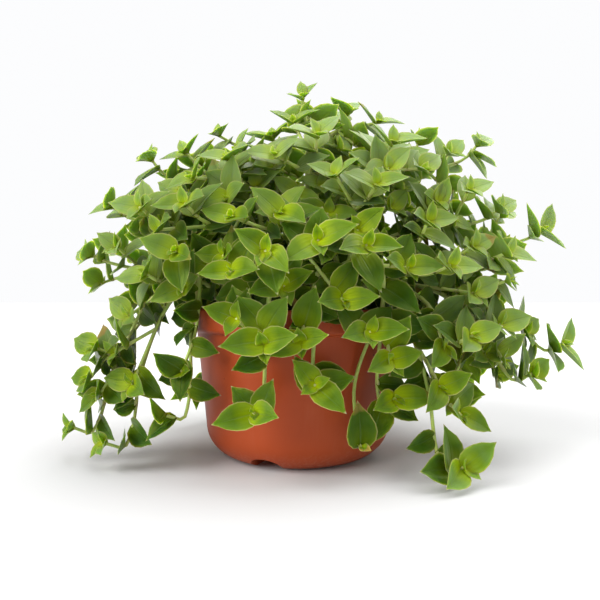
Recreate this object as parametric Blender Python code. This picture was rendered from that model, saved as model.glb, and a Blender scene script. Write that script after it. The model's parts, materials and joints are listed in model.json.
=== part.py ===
"""Turtle vine in a 12 cm nursery pot, at real size.

Units are metres, +Z is up, -Y is the front, and the pot's foot stands on z = 0 around the origin.
Each vine is one solid: a main stem with a side shoot or two, and the leaves that grow from them.
"""

import itertools
import math
import random
from dataclasses import dataclass

import bmesh
import bpy
from mathutils import Matrix, Vector, geometry
from mathutils.bvhtree import BVHTree
from mathutils.kdtree import KDTree

# Clearance that touching pieces keep, and that growing stems and leaves keep from other vines
GAP = 0.0004
BEND_CLEAR = 0.0004
# Points this close mean that a joined mesh touches itself
TOUCHING = 0.0000002
# How far a vine's leaves are moved up, in turn, until they join its stems without touching edges
JOIN_SHIFTS = (0.0, 0.00003, -0.00003, 0.00006)
UP = Vector((0.0, 0.0, 1.0))
FRONT = Vector((0.0, -1.0, 0.0))

# Pot: a turned shell with a band at its lip and drainage channels under its floor
POT_SIDES = 28
POT_HEIGHT = 0.0820
LIP_RADIUS = 0.0600
LIP_HEIGHT = 0.0125
LIP_ROUNDING = 0.0010
LIP_INSIDE_STEP = 0.0007
WALL_RADIUS_AT_LIP = 0.0565
WALL_RADIUS_AT_FOOT = 0.0515
FOOT_ROUNDING = 0.0180
WALL_THICKNESS = 0.0018
FLOOR_THICKNESS = 0.0020
ROUNDING_STEPS = 3
CHANNELS = 4
CHANNEL_FIRST_ANGLE = math.radians(-112.0)
CHANNEL_WIDTH = 0.0170
CHANNEL_HEIGHT = 0.0070
CHANNEL_START = 0.0200
CHANNEL_SIDES = 6
CHANNEL_SQUARENESS = 0.60
CHANNEL_END_IN_ROUNDING = 0.55
DRAIN_RADIUS = 0.0035
DRAIN_CENTRE = 0.0290
DRAIN_SIDES = 8

# Soil: fills the pot up to just under its lip, a little higher in the middle
SOIL_EDGE = 0.0735
SOIL_CROWN = 0.0795
SOIL_LUMP = 0.0009
SOIL_LUMPS_ACROSS = 210.0
SOIL_SIDES = 20
SOIL_RINGS = 3
SOIL_FOOT_SLOPE = 1.15
GROUND_RINGS = 8
HOLE_DEPTH = 0.0085
HOLE_SIDES = 4

# Stems
STEM_SIDES = 3
ROOT_RADIUS = 0.00150
TIP_RADIUS = 0.00090
SIDE_RADIUS = 0.00110
ROOT_SPACING = 0.0068
ROOT_REACH = 0.0440
ROOT_LIMIT = 0.0475
ROOT_PULL_IN = 0.80
ROOT_SEARCH = 400
ROOT_SEARCH_STEP = 0.0011
ABOVE_SOIL = 0.0015
LOW_TIP = 0.060
HIGH_TIP = 0.200
CREST_ABOVE_RIM = 0.0200
STEM_STEP = 0.0270
MAIN_STEPS = 5
SIDE_STEPS = 2
# How a main stem bends: straight up at first, out to its tip, and down into it where the tip hangs
CLIMB = 1.15
START_LEAN = 0.10
END_REACH = 0.30
END_FALL = 1.05
END_NUDGE = 0.40
SIDE_START = 0.18
SIDE_BEND = 0.35
HEADING_CENTRE = 0.110
HEADING_DROP = 0.25
HEADING_LIFT = 0.42
# How much the rosettes that the front shows are turned towards it
FRONT_PULL = 0.78
# The last stretch of a main stem, which points the way that the tip faces
HOOK = 0.0115
# Tries at bending a stem clear of the others: each wanders further than the one before
STEM_TRIES = 60
STEM_NUDGE = 0.0030
LEAST_NUDGE = 2
WIDEST_NUDGE = 12
CLIMB_STEPS = 8
RIM_CLIMB = 0.0020

# Leaves: an ovate blade, folded a little along its midrib, arched, with a drawn-out tip
LEAF_WIDTH = 0.70
LEAF_THICKNESS = 0.00075
WIDEST_POWER = 0.58
TIP_POWER = 1.02
# Where its outline has corners, on its upper face and on its lower one
SHOULDER = 0.22
WAIST = 0.58
BELLY = 0.40
UPPER_FACES = 4
# Fold and arch of each leaf form, as a share of its width and of its length
LEAF_FORMS = ((0.34, 0.12), (0.26, 0.20), (0.42, 0.07), (0.18, 0.15), (0.30, 0.26))
LEAF_JITTER = 0.10
TURN_JITTER = math.radians(13.0)
OPENING_JITTER = math.radians(7.0)
# How far a shoot's first pair is turned from lying level, and how far each later pair fans up from it
FIRST_TURN = math.radians(34.0)
PAIR_FANS = (0.0, math.radians(52.0))
FANS_UP = (1.0, 1.0, 1.0, -1.0)
LIGHT_PULL = 0.32
LIGHT_LEAN = 0.40
HEADING_HOLD = 0.85
HEADING_FADE = 0.030
UPRIGHT = 0.10
DROOP_START = 0.012
DROOP = 0.22
FLOOR_CLEAR = 0.0012
# How far from the stem's axis a blade starts, as a share of the stem's radius
BASE_SUNK = 0.40
# Distance back from the shoot's tip, leaf length, and opening away from the stem, youngest first
MAIN_LEAVES = (
    (0.0010, 0.0178, 56.0),
    (0.0020, 0.0186, 62.0),
    (0.0075, 0.0202, 74.0),
    (0.0092, 0.0206, 80.0),
)
SIDE_LEAVES = (
    (0.0010, 0.0165, 58.0),
    (0.0022, 0.0172, 64.0),
    (0.0080, 0.0192, 78.0),
)
# Other ways round, openings and sizes that a leaf tries when a neighbour is in its way
LEAF_TRIES = (
    (0.0, 0.0, 1.0),
    (14.0, 0.0, 1.0),
    (-14.0, 0.0, 1.0),
    (0.0, -14.0, 1.0),
    (0.0, 14.0, 1.0),
    (28.0, -8.0, 0.95),
    (-28.0, -8.0, 0.95),
    (0.0, -28.0, 0.9),
    (45.0, -10.0, 0.85),
    (-45.0, -10.0, 0.85),
    (20.0, 20.0, 0.8),
    (-20.0, -35.0, 0.8),
)

# Tips of the vines that the front shows, across, back and up: the vine's own first, then its side shoots'
SEEN_VINES = (
    ((-0.0198, -0.072, 0.036), (-0.0152, -0.078, 0.067)),
    ((0.008, -0.074, 0.049), (0.001, -0.074, 0.068)),
    ((0.033, -0.070, 0.073),),
    ((0.047, -0.057, 0.040), (0.043, -0.064, 0.058), (0.029, -0.066, 0.019)),
    ((-0.0275, -0.073, 0.079), (-0.030, -0.074, 0.100)),
    ((-0.014, -0.080, 0.109), (-0.006, -0.072, 0.093)),
    ((0.009, -0.076, 0.114), (0.021, -0.072, 0.086)),
    ((0.031, -0.073, 0.112), (0.052, -0.062, 0.102)),
    ((-0.008, -0.062, 0.128), (-0.031, -0.062, 0.126)),
    ((0.038, -0.052, 0.143),),
    ((0.074, -0.052, 0.104),),
    ((0.003, -0.006, 0.200),),
    ((0.029, 0.022, 0.199), (0.048, 0.014, 0.191)),
    ((-0.015, 0.016, 0.183), (-0.047, 0.012, 0.183)),
    ((0.010, -0.034, 0.172),),
    ((-0.036, -0.034, 0.160),),
    ((0.050, -0.025, 0.170), (0.067, -0.022, 0.156)),
    ((0.110, 0.024, 0.181), (0.090, 0.010, 0.172)),
    ((0.115, 0.000, 0.138), (0.092, -0.020, 0.146)),
    ((0.144, 0.010, 0.127), (0.124, 0.024, 0.138)),
    ((0.152, 0.000, 0.061), (0.131, 0.000, 0.068)),
    ((0.112, -0.022, 0.112),),
    ((0.105, -0.034, 0.074), (0.090, -0.038, 0.090)),
    ((0.126, -0.022, 0.047), (0.098, -0.028, 0.058)),
    ((0.077, -0.067, 0.010), (0.069, -0.055, 0.044), (0.080, -0.050, 0.030)),
    ((0.084, -0.056, 0.070),),
    ((-0.085, 0.006, 0.168), (-0.064, 0.000, 0.170)),
    ((-0.104, -0.006, 0.139),),
    ((-0.118, 0.000, 0.112), (-0.100, -0.012, 0.116)),
    ((-0.106, -0.030, 0.062), (-0.088, -0.032, 0.078)),
    ((-0.122, -0.020, 0.018), (-0.104, -0.030, 0.036), (-0.112, -0.022, 0.044)),
    ((-0.099, -0.038, 0.014), (-0.083, -0.042, 0.044), (-0.093, -0.038, 0.060)),
    ((-0.066, -0.047, 0.030), (-0.056, -0.054, 0.052)),
    ((-0.076, -0.046, 0.100),),
    ((-0.055, -0.050, 0.134), (-0.070, -0.040, 0.122)),
)

# The few leaves of the thin stem that hangs beside the pot at the left, the one leaf of the stem that
# hangs lowest in front, and the small leaves of a thin sprig and of two trailing tips
LOW_LEAVES = ((0.0010, 0.0190, 30.0), (0.0060, 0.0180, 50.0))
LAST_LEAF = ((0.0010, 0.0235, 74.0),)
SPRIG_LEAVES = ((0.0010, 0.0120, 48.0), (0.0020, 0.0105, 60.0), (0.0120, 0.0100, 70.0))
TRAILING_LEAVES = ((0.0010, 0.0125, 48.0), (0.0020, 0.0105, 60.0), (0.0110, 0.0180, 70.0))

# Where the photo shows a rosette plainly, by vine and shoot: how far its first pair is turned,
# which way the next one fans, and its leaves
SEEN_ROSETTES = {
    (0, 0): (math.radians(12.0), 1.0, MAIN_LEAVES),
    (0, 1): (math.radians(15.0), 1.0, MAIN_LEAVES),
    (1, 0): (math.radians(-50.0), 1.0, MAIN_LEAVES),
    (3, 2): (math.radians(86.0), 1.0, LAST_LEAF),
    (11, 0): (math.radians(20.0), 1.0, SPRIG_LEAVES),
    (19, 0): (math.radians(58.0), 1.0, MAIN_LEAVES),
    (20, 0): (math.radians(70.0), 1.0, MAIN_LEAVES),
    (23, 0): (math.radians(35.0), 1.0, MAIN_LEAVES),
    (24, 0): (math.radians(38.0), 1.0, MAIN_LEAVES),
    (29, 0): (math.radians(-16.0), 1.0, MAIN_LEAVES),
    (30, 0): (math.radians(10.0), 1.0, TRAILING_LEAVES),
    (31, 0): (math.radians(-20.0), 1.0, TRAILING_LEAVES),
    (32, 0): (math.radians(60.0), 1.0, LOW_LEAVES),
    (32, 1): (math.radians(100.0), 1.0, LOW_LEAVES),
}

# Vines of the hidden back, by a rule: they fill the same dome on three levels. Each level has how far
# out and up its tips are, and how widely they spread: the low ones hang behind the pot
BACK_VINES = 16
BACK_FROM = math.radians(8.0)
BACK_SPAN = math.radians(164.0)
BACK_LEVELS = ((0.112, 0.052, 0.50), (0.118, 0.112, 1.0), (0.082, 0.160, 1.0))
BACK_JITTER = 0.010
BACK_SIDE_TURN = math.radians(17.0)
BACK_SIDE_RISE = 0.016
BACK_SIDE_FALL = 0.022
BACK_SIDE_PULL_IN = 0.010
GOLDEN = (math.sqrt(5.0) - 1.0) / 2.0
SEED = 5
SEED_STEP = 100
LEAF_SEED = 7


def clear_scene():
    for thing in list(bpy.data.objects):
        bpy.data.objects.remove(thing)


def material(name, colour, roughness):
    made = bpy.data.materials.new(name)
    made.use_nodes = True
    shader = made.node_tree.nodes["Principled BSDF"]
    shader.inputs["Base Color"].default_value = (*colour, 1.0)
    shader.inputs["Roughness"].default_value = roughness
    shader.inputs["Metallic"].default_value = 0.0
    made.diffuse_color = (*colour, 1.0)
    return made


def add_mesh(name, points, faces, collection=None):
    mesh = bpy.data.meshes.new(name)
    mesh.from_pydata([tuple(point) for point in points], [], faces)
    thing = bpy.data.objects.new(name, mesh)
    (collection or bpy.context.scene.collection).objects.link(thing)
    return thing


def finish(thing, finish_material, sharp_degrees=40.0):
    thing.data.materials.clear()
    thing.data.materials.append(finish_material)
    thing.data.shade_smooth()
    thing.data.set_sharp_from_angle(angle=math.radians(sharp_degrees))


def apply_boolean(thing, operation, other=None, others=None, solver="EXACT"):
    """Joins or cuts, then removes what it was joined with or cut by."""
    boolean = thing.modifiers.new("boolean", "BOOLEAN")
    boolean.operation = operation
    boolean.solver = solver
    if others is None:
        boolean.object = other
    else:
        boolean.operand_type = "COLLECTION"
        boolean.collection = others
    bpy.context.view_layer.objects.active = thing
    bpy.ops.object.modifier_apply(modifier=boolean.name)
    if others is None:
        bpy.data.objects.remove(other)
    else:
        for piece in list(others.objects):
            bpy.data.objects.remove(piece)
        bpy.data.collections.remove(others)


def keep_main_shell(thing):
    """Fills sealed hollows and drops loose scrap that a join left, by keeping the largest shell only."""
    made = bmesh.new()
    made.from_mesh(thing.data)
    shells, seen = [], set()
    for start in made.faces:
        if start in seen:
            continue
        shell, waiting = [], [start]
        seen.add(start)
        while waiting:
            face = waiting.pop()
            shell.append(face)
            for edge in face.edges:
                for neighbour in edge.link_faces if edge.is_manifold else ():
                    if neighbour not in seen:
                        seen.add(neighbour)
                        waiting.append(neighbour)
        shells.append(shell)
    shells.sort(key=len)
    for shell in shells[:-1]:
        bmesh.ops.delete(made, geom=shell, context="FACES")
    made.to_mesh(thing.data)
    made.free()


def turned(profile, sides):
    """Points and faces of a solid turned around Z, from (radius, height) points that end on the axis."""
    points = [Vector((0.0, 0.0, profile[0][1])), Vector((0.0, 0.0, profile[-1][1]))]
    for radius, height in profile[1:-1]:
        for side in range(sides):
            angle = 2.0 * math.pi * side / sides
            points.append(Vector((radius * math.cos(angle), radius * math.sin(angle), height)))
    rings = len(profile) - 2
    faces = []
    for side in range(sides):
        onward = (side + 1) % sides
        faces.append((0, 2 + onward, 2 + side))
        for ring in range(rings - 1):
            low, high = 2 + ring * sides, 2 + (ring + 1) * sides
            faces.append((low + side, low + onward, high + onward, high + side))
        last = 2 + (rings - 1) * sides
        faces.append((last + side, last + onward, 1))
    return points, faces


def foot_arc(inset):
    """The rounded foot of the pot, from its floor to its wall, moved in by the inset."""
    centre_radius = WALL_RADIUS_AT_FOOT - FOOT_ROUNDING
    radius = FOOT_ROUNDING - inset
    arc = []
    for step in range(ROUNDING_STEPS + 1):
        angle = 0.5 * math.pi * step / ROUNDING_STEPS
        arc.append((centre_radius + radius * math.sin(angle), FOOT_ROUNDING - radius * math.cos(angle)))
    return arc


def wall_radius(height):
    rise = (height - FOOT_ROUNDING) / (POT_HEIGHT - LIP_HEIGHT - FOOT_ROUNDING)
    return WALL_RADIUS_AT_FOOT + (WALL_RADIUS_AT_LIP - WALL_RADIUS_AT_FOOT) * rise


def pot_profile():
    lip_foot = POT_HEIGHT - LIP_HEIGHT
    outside = [(0.0, 0.0), *foot_arc(0.0)]
    outside.append((WALL_RADIUS_AT_LIP, lip_foot))
    outside.append((LIP_RADIUS - LIP_ROUNDING, lip_foot))
    outside.append((LIP_RADIUS, lip_foot + LIP_ROUNDING))
    outside.append((LIP_RADIUS, POT_HEIGHT - LIP_ROUNDING))
    outside.append((LIP_RADIUS - LIP_ROUNDING, POT_HEIGHT))
    inside = [(LIP_RADIUS - WALL_THICKNESS, POT_HEIGHT)]
    inside.append((LIP_RADIUS - WALL_THICKNESS - LIP_INSIDE_STEP, POT_HEIGHT - WALL_THICKNESS))
    inside.append((WALL_RADIUS_AT_LIP - WALL_THICKNESS, lip_foot - WALL_THICKNESS))
    inside.extend(reversed(foot_arc(FLOOR_THICKNESS)))
    inside.append((0.0, FLOOR_THICKNESS))
    return outside + inside


def channel_points(width, height, start, end, turn, foot):
    """A half-round bar along a spoke of the pot, standing on the given height."""
    outline = []
    for side in range(CHANNEL_SIDES + 1):
        angle = math.pi * side / CHANNEL_SIDES
        outline.append((0.5 * width * math.cos(angle), height * math.sin(angle) ** CHANNEL_SQUARENESS))
    outline = [(0.5 * width, foot)] + outline[1:-1] + [(-0.5 * width, foot)]
    spin = Matrix.Rotation(turn, 3, "Z")
    points = [spin @ Vector((along, across, up)) for along in (start, end) for across, up in outline]
    count = len(outline)
    faces = [tuple(reversed(range(count))), tuple(range(count, 2 * count))]
    for side in range(count):
        onward = (side + 1) % count
        faces.append((side, onward, count + onward, count + side))
    return points, faces


def outward(thing):
    """Turns the faces of a closed mesh outwards."""
    made = bmesh.new()
    made.from_mesh(thing.data)
    bmesh.ops.recalc_face_normals(made, faces=made.faces)
    made.to_mesh(thing.data)
    made.free()


def trim_to_shell(thing):
    """Cuts a channel's roof off at the pot's outside."""
    inset = 0.3 * FLOOR_THICKNESS
    top = 0.5 * POT_HEIGHT
    outside = [(0.0, inset), *foot_arc(inset), (WALL_RADIUS_AT_FOOT - inset, top), (0.0, top)]
    shell = add_mesh("shell", *turned(outside, POT_SIDES))
    outward(shell)
    apply_boolean(thing, "INTERSECT", other=shell)


def add_pot():
    pot = add_mesh("pot", *turned(pot_profile(), POT_SIDES))
    outward(pot)
    roofs = bpy.data.collections.new("roofs")
    cuts = bpy.data.collections.new("cuts")
    for made in (roofs, cuts):
        bpy.context.scene.collection.children.link(made)
    for channel in range(CHANNELS):
        turn = CHANNEL_FIRST_ANGLE + 2.0 * math.pi * channel / CHANNELS
        roof_end = WALL_RADIUS_AT_FOOT - FOOT_ROUNDING * (1.0 - CHANNEL_END_IN_ROUNDING)
        roof = channel_points(
            CHANNEL_WIDTH + 2.0 * FLOOR_THICKNESS,
            CHANNEL_HEIGHT + FLOOR_THICKNESS,
            CHANNEL_START - FLOOR_THICKNESS,
            roof_end,
            turn,
            0.5 * FLOOR_THICKNESS,
        )
        cut = channel_points(
            CHANNEL_WIDTH, CHANNEL_HEIGHT, CHANNEL_START, LIP_RADIUS, turn, -FLOOR_THICKNESS
        )
        roof = add_mesh("roof", *roof, roofs)
        outward(roof)
        trim_to_shell(roof)
        outward(add_mesh("cut", *cut, cuts))
        bpy.ops.mesh.primitive_cylinder_add(
            vertices=DRAIN_SIDES,
            radius=DRAIN_RADIUS,
            depth=4.0 * CHANNEL_HEIGHT,
            location=(DRAIN_CENTRE * math.cos(turn), DRAIN_CENTRE * math.sin(turn), CHANNEL_HEIGHT),
        )
        drain = bpy.context.object
        for holder in list(drain.users_collection):
            holder.objects.unlink(drain)
        cuts.objects.link(drain)
    apply_boolean(pot, "UNION", others=roofs)
    apply_boolean(pot, "DIFFERENCE", others=cuts)
    finish(pot, material("terracotta_plastic", (0.352, 0.068, 0.025), 0.42))
    return pot


def soil_height(x, y):
    """Height of the soil's surface: a low mound with lumps."""
    share = (x * x + y * y) / (WALL_RADIUS_AT_LIP * WALL_RADIUS_AT_LIP)
    mound = SOIL_EDGE + (SOIL_CROWN - SOIL_EDGE) * max(0.0, 1.0 - share)
    lumps = math.sin(SOIL_LUMPS_ACROSS * x + 1.3) * math.sin(SOIL_LUMPS_ACROSS * y + 0.4)
    return mound + SOIL_LUMP * lumps


def add_soil(vines):
    floor = CHANNEL_HEIGHT + FLOOR_THICKNESS + GAP
    foot = [corner for corner in foot_arc(FLOOR_THICKNESS + GAP) if corner[1] > floor]
    edge = wall_radius(SOIL_EDGE) - WALL_THICKNESS - 2.0 * GAP
    bottom = foot[0][0] - SOIL_FOOT_SLOPE * (foot[0][1] - floor)
    profile = [(0.0, floor), (bottom, floor), *foot]
    for ring in range(SOIL_RINGS):
        profile.append((edge * (1.0 - ring / SOIL_RINGS), SOIL_EDGE))
    profile.append((0.0, SOIL_EDGE))
    points, faces = turned(profile, SOIL_SIDES)
    for point in points:
        if point.z >= SOIL_EDGE:
            point.z = soil_height(point.x, point.y)
    soil = add_mesh("soil", points, faces)
    outward(soil)
    made = bmesh.new()
    made.from_mesh(soil.data)
    bmesh.ops.triangulate(made, faces=made.faces)
    made.to_mesh(soil.data)
    made.free()
    hole_points, hole_faces = [], []
    for vine in vines:
        root = vine.shoots[0].path[0]
        low = root.z - GAP
        high = soil_height(root.x, root.y) + 3.0 * HOLE_DEPTH
        radius = (ROOT_RADIUS * 1.05 + GAP) / math.cos(math.pi / HOLE_SIDES)
        first = len(hole_points)
        for height in (low, high):
            for side in range(HOLE_SIDES):
                angle = 2.0 * math.pi * side / HOLE_SIDES
                offset = Vector((radius * math.cos(angle), radius * math.sin(angle), 0.0))
                hole_points.append(Vector((root.x, root.y, height)) + offset)
        hole_faces.append(tuple(first + side for side in reversed(range(HOLE_SIDES))))
        hole_faces.append(tuple(first + HOLE_SIDES + side for side in range(HOLE_SIDES)))
        for side in range(HOLE_SIDES):
            onward = (side + 1) % HOLE_SIDES
            low_side, high_side = first + side, first + HOLE_SIDES + side
            hole_faces.append((low_side, first + onward, first + HOLE_SIDES + onward, high_side))
    holes = add_mesh("holes", hole_points, hole_faces)
    apply_boolean(soil, "DIFFERENCE", other=holes)
    finish(soil, material("potting_soil", (0.030, 0.020, 0.012), 0.95))
    return soil


@dataclass
class Shoot:
    """A stem with the way its tip faces and the leaves that it carries."""

    path: list
    radii: list
    heading: Vector
    leaf_plan: tuple


@dataclass
class Vine:
    """A root with its shoots, the outlines of its leaves, and the surface that others keep clear of."""

    shoots: list
    leaves: list
    surface: object = None
    box: tuple = None


def tube(path, radii, sides, extra=0.0):
    """Points and faces of a closed tube along a path."""
    points = []
    side_way = None
    for index, centre in enumerate(path):
        ahead = path[min(index + 1, len(path) - 1)]
        behind = path[max(index - 1, 0)]
        along = (ahead - behind).normalized()
        if side_way is None:
            side_way = along.orthogonal().normalized()
        side_way = (side_way - along * side_way.dot(along)).normalized()
        other_way = along.cross(side_way)
        radius = radii[index] + extra
        for side in range(sides):
            angle = 2.0 * math.pi * (side + 0.5) / sides
            offset = side_way * math.cos(angle) + other_way * math.sin(angle)
            points.append(centre + offset * radius)
    faces = [tuple(reversed(range(sides)))]
    for index in range(len(path) - 1):
        low, high = index * sides, (index + 1) * sides
        for side in range(sides):
            onward = (side + 1) % sides
            faces.append((low + side, low + onward, high + onward, high + side))
    last = (len(path) - 1) * sides
    faces.append(tuple(last + side for side in range(sides)))
    return points, faces


def half_width(share):
    """Half the blade's width at a share of its length, both as shares of that length."""
    widest = WIDEST_POWER / (WIDEST_POWER + TIP_POWER)
    top = widest**WIDEST_POWER * (1.0 - widest) ** TIP_POWER
    return 0.5 * LEAF_WIDTH * share**WIDEST_POWER * (1.0 - share) ** TIP_POWER / top


def blade(length, form, thickness):
    """Points and faces of one leaf with its base at the origin, along +Y, upper face towards +Z.

    The edges from its base to its tip, above and below, are its midrib, where it folds.
    """
    fold, arch = LEAF_FORMS[form]
    upper = ((0.0, 0.0), (1.0, SHOULDER), (1.0, WAIST), (-1.0, WAIST), (-1.0, SHOULDER))
    lower = ((0.0, 0.0), (1.0, BELLY), (-1.0, BELLY))
    points = []
    for outline, lift in ((upper, 0.5 * thickness), (lower, -0.5 * thickness)):
        for side, along in outline:
            across = side * half_width(along)
            height = fold * abs(across) + arch * (0.5 * along - along * along)
            points.append(Vector((across * length, along * length, height * length + lift)))
    points.append(Vector((0.0, length, -0.5 * arch * length)))
    base, right_shoulder, right_waist, left_waist, left_shoulder, under, right_belly, left_belly, tip = range(9)
    faces = [
        (base, right_shoulder, tip),
        (right_shoulder, right_waist, tip),
        (base, tip, left_shoulder),
        (left_shoulder, tip, left_waist),
        (under, tip, right_belly),
        (under, left_belly, tip),
        (base, under, right_belly),
        (base, right_belly, right_shoulder),
        (right_shoulder, right_belly, right_waist),
        (right_waist, right_belly, tip),
        (base, left_belly, under),
        (base, left_shoulder, left_belly),
        (left_shoulder, left_waist, left_belly),
        (left_waist, tip, left_belly),
    ]
    return points, faces


def placed(points, frame):
    return [frame @ point for point in points]


def without_base(points, faces, frame):
    """The upper face of a placed blade from its shoulders on, where it stands clear of its stem."""
    from_shoulders = [points[0].lerp(points[-1], SHOULDER), *points[1:]]
    return placed(from_shoulders, frame), faces[:UPPER_FACES]


def box_of(points):
    low = Vector([min(point[axis] for point in points) for axis in range(3)])
    high = Vector([max(point[axis] for point in points) for axis in range(3)])
    return low, high


def boxes_meet(first, second):
    return all(first[0][axis] <= second[1][axis] and second[0][axis] <= first[1][axis] for axis in range(3))


def surface_of(parts):
    """One search tree over several (points, faces), and its box."""
    points, faces = [], []
    for part_points, part_faces in parts:
        first = len(points)
        points.extend(part_points)
        faces.extend(tuple(first + corner for corner in face) for face in part_faces)
    return BVHTree.FromPolygons(points, faces), box_of(points)


def is_clear(points, faces, others):
    """Whether a mesh crosses none of the (surface, box) pairs."""
    box = box_of(points)
    near = [surface for surface, other_box in others if boxes_meet(box, other_box)]
    if not near:
        return True
    own = BVHTree.FromPolygons(points, faces)
    return not any(own.overlap(surface) for surface in near)


def tip_heading(tip):
    """The way a shoot's tip faces: out of the dome, turned towards the light."""
    out = tip - HEADING_CENTRE * UP
    out.z *= HEADING_DROP if out.z < 0.0 else 1.0
    return (out.normalized() + HEADING_LIFT * UP).normalized()


def facing(number, tip):
    """The way a rosette faces: as its stem's tip does, and on the vines in front also to the front."""
    pull = FRONT_PULL if number < len(SEEN_VINES) else 0.0
    return (tip_heading(tip) + pull * FRONT).normalized()


def pick_root(tip, taken):
    """A free place in the soil on the tip's side: near the middle for high tips, the rim for low ones."""
    steep = min(1.0, max(0.0, (tip.z - LOW_TIP) / (HIGH_TIP - LOW_TIP)))
    reach = ROOT_REACH * (1.0 - ROOT_PULL_IN * steep)
    angle = math.atan2(tip.y, tip.x)
    for step in range(ROOT_SEARCH):
        turn = step * 2.0 * math.pi * GOLDEN
        away = ROOT_SEARCH_STEP * math.sqrt(step)
        x = reach * math.cos(angle) + away * math.cos(turn)
        y = reach * math.sin(angle) + away * math.sin(turn)
        if math.hypot(x, y) > ROOT_LIMIT:
            continue
        if all(math.hypot(x - root.x, y - root.y) >= ROOT_SPACING for root in taken):
            return Vector((x, y, soil_height(x, y)))
    raise ValueError("no free place for a root")


def smooth_path(start, start_way, end, end_way, steps):
    return geometry.interpolate_bezier(start, start + start_way, end - end_way, end, steps)


def main_route(root, tip, crest_more, nudge):
    """A stem from the bottom of its hole, up out of the soil and over to its tip."""
    hook = tip - HOOK * tip_heading(tip)
    rise = hook.z - root.z
    out = Vector((hook.x - root.x, hook.y - root.y, 0.0))
    crest = max(POT_HEIGHT + CREST_ABOVE_RIM, hook.z) + crest_more
    fall = max(0.0, crest - hook.z)
    start_way = UP * (CLIMB * (crest - root.z)) + START_LEAN * out + nudge
    end_way = tip_heading(tip) * (END_REACH * out.length) - UP * (END_FALL * fall) - END_NUDGE * nudge
    length = out.length + abs(rise) + fall
    steps = max(MAIN_STEPS, round(length / STEM_STEP))
    above = Vector((root.x, root.y, root.z + ABOVE_SOIL))
    return [*smooth_path(above, start_way, hook, end_way, steps), tip]


def in_its_hole(path):
    """The path with the stretch that stands in the soil put before it."""
    foot = path[0]
    return [foot - (ABOVE_SOIL + HOLE_DEPTH - GAP) * UP, *path]


def tapered(path, foot_radius, tip_radius):
    last = len(path) - 1
    return [foot_radius + (tip_radius - foot_radius) * index / last for index in range(last + 1)]


def side_route(main_path, tip, nudge):
    """A side shoot that leaves the main stem below its tip and bends to its own."""
    distances = [(point - tip).length for point in main_path]
    nearest = min(range(2, len(main_path) - 1), key=lambda index: distances[index])
    foot_index = max(2, nearest - 1)
    foot = main_path[foot_index]
    along = (main_path[foot_index + 1] - main_path[foot_index - 1]).normalized()
    gap = (tip - foot).length
    start_way = along * (SIDE_START * gap) + nudge
    end_way = tip_heading(tip) * (SIDE_BEND * gap) - nudge
    steps = max(SIDE_STEPS, round(gap / STEM_STEP) + 1)
    return smooth_path(foot, start_way, tip, end_way, steps)


def back_tips():
    """Tips of the vines at the back, each with a side shoot above it, and every other one with one below."""
    draw = random.Random(SEED)
    tips = []
    for index in range(BACK_VINES):
        reach, height, spread = BACK_LEVELS[index % len(BACK_LEVELS)]
        middle = BACK_FROM + 0.5 * BACK_SPAN
        angle = middle + spread * BACK_SPAN * ((index + 0.5) * GOLDEN % 1.0 - 0.5)
        reach += draw.uniform(-BACK_JITTER, BACK_JITTER)
        height += draw.uniform(-BACK_JITTER, BACK_JITTER)
        turn = BACK_SIDE_TURN * draw.choice((-1.0, 1.0))
        own = [(reach * math.cos(angle), reach * math.sin(angle), height)]
        sides = ((turn, BACK_SIDE_RISE), (-turn, -BACK_SIDE_FALL))
        for side_turn, rise in sides[: 1 + index % 2]:
            side_reach = reach - BACK_SIDE_PULL_IN
            x = side_reach * math.cos(angle + side_turn)
            y = side_reach * math.sin(angle + side_turn)
            own.append((x, y, height + rise))
        tips.append(own)
    return tips


def first_clear(draw, route, foot_radius, others):
    """The first try at a stem, as (path, radii), that crosses none of the others, or None."""
    for attempt in range(STEM_TRIES):
        wander = STEM_NUDGE * min(attempt + LEAST_NUDGE, WIDEST_NUDGE)
        nudge = Vector([draw.uniform(-wander, wander) for _ in range(3)])
        path = route(nudge, RIM_CLIMB * (attempt % CLIMB_STEPS))
        radii = tapered(path, foot_radius, TIP_RADIUS)
        if is_clear(*tube(path, radii, STEM_SIDES, BEND_CLEAR), others):
            return path, radii
    return None


def grow_stems(fixed):
    """All vines with their stems, each bent clear of the ones before it."""
    vines, roots = [], []
    for number, tips in enumerate((*SEEN_VINES, *back_tips())):
        draw = random.Random(SEED + SEED_STEP * number)
        main_tip, *side_tips = [Vector(tip) for tip in tips]
        root = pick_root(main_tip, roots)
        roots.append(root)
        others = fixed + [(vine.surface, vine.box) for vine in vines]
        found = first_clear(
            draw, lambda nudge, climb: main_route(root, main_tip, climb, nudge), ROOT_RADIUS, others
        )
        if found is None:
            print("vine", number + 1, "finds no clear way")
            continue
        path, radii = found
        shoots = [Shoot(in_its_hole(path), [radii[0], *radii], facing(number, main_tip), MAIN_LEAVES)]
        for tip in side_tips:
            found = first_clear(draw, lambda nudge, climb: side_route(path, tip, nudge), SIDE_RADIUS, others)
            if found is None:
                print("vine", number + 1, "drops a side shoot")
            else:
                shoots.append(Shoot(*found, facing(number, tip), SIDE_LEAVES))
        vine = Vine(shoots, [])
        vine.surface, vine.box = surface_of([tube(each.path, each.radii, STEM_SIDES) for each in shoots])
        vines.append(vine)
    return vines


def point_back_from_tip(shoot, distance):
    """The point, the stem's direction and its radius at a distance back along a shoot from its tip."""
    path, radii = shoot.path, shoot.radii
    for index in range(len(path) - 1, 0, -1):
        step = path[index] - path[index - 1]
        if distance <= step.length:
            share = distance / step.length
            radius = radii[index] * (1.0 - share) + radii[index - 1] * share
            return path[index] - step * share, step.normalized(), radius
        distance -= step.length
    return path[0], (path[1] - path[0]).normalized(), radii[0]


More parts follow.
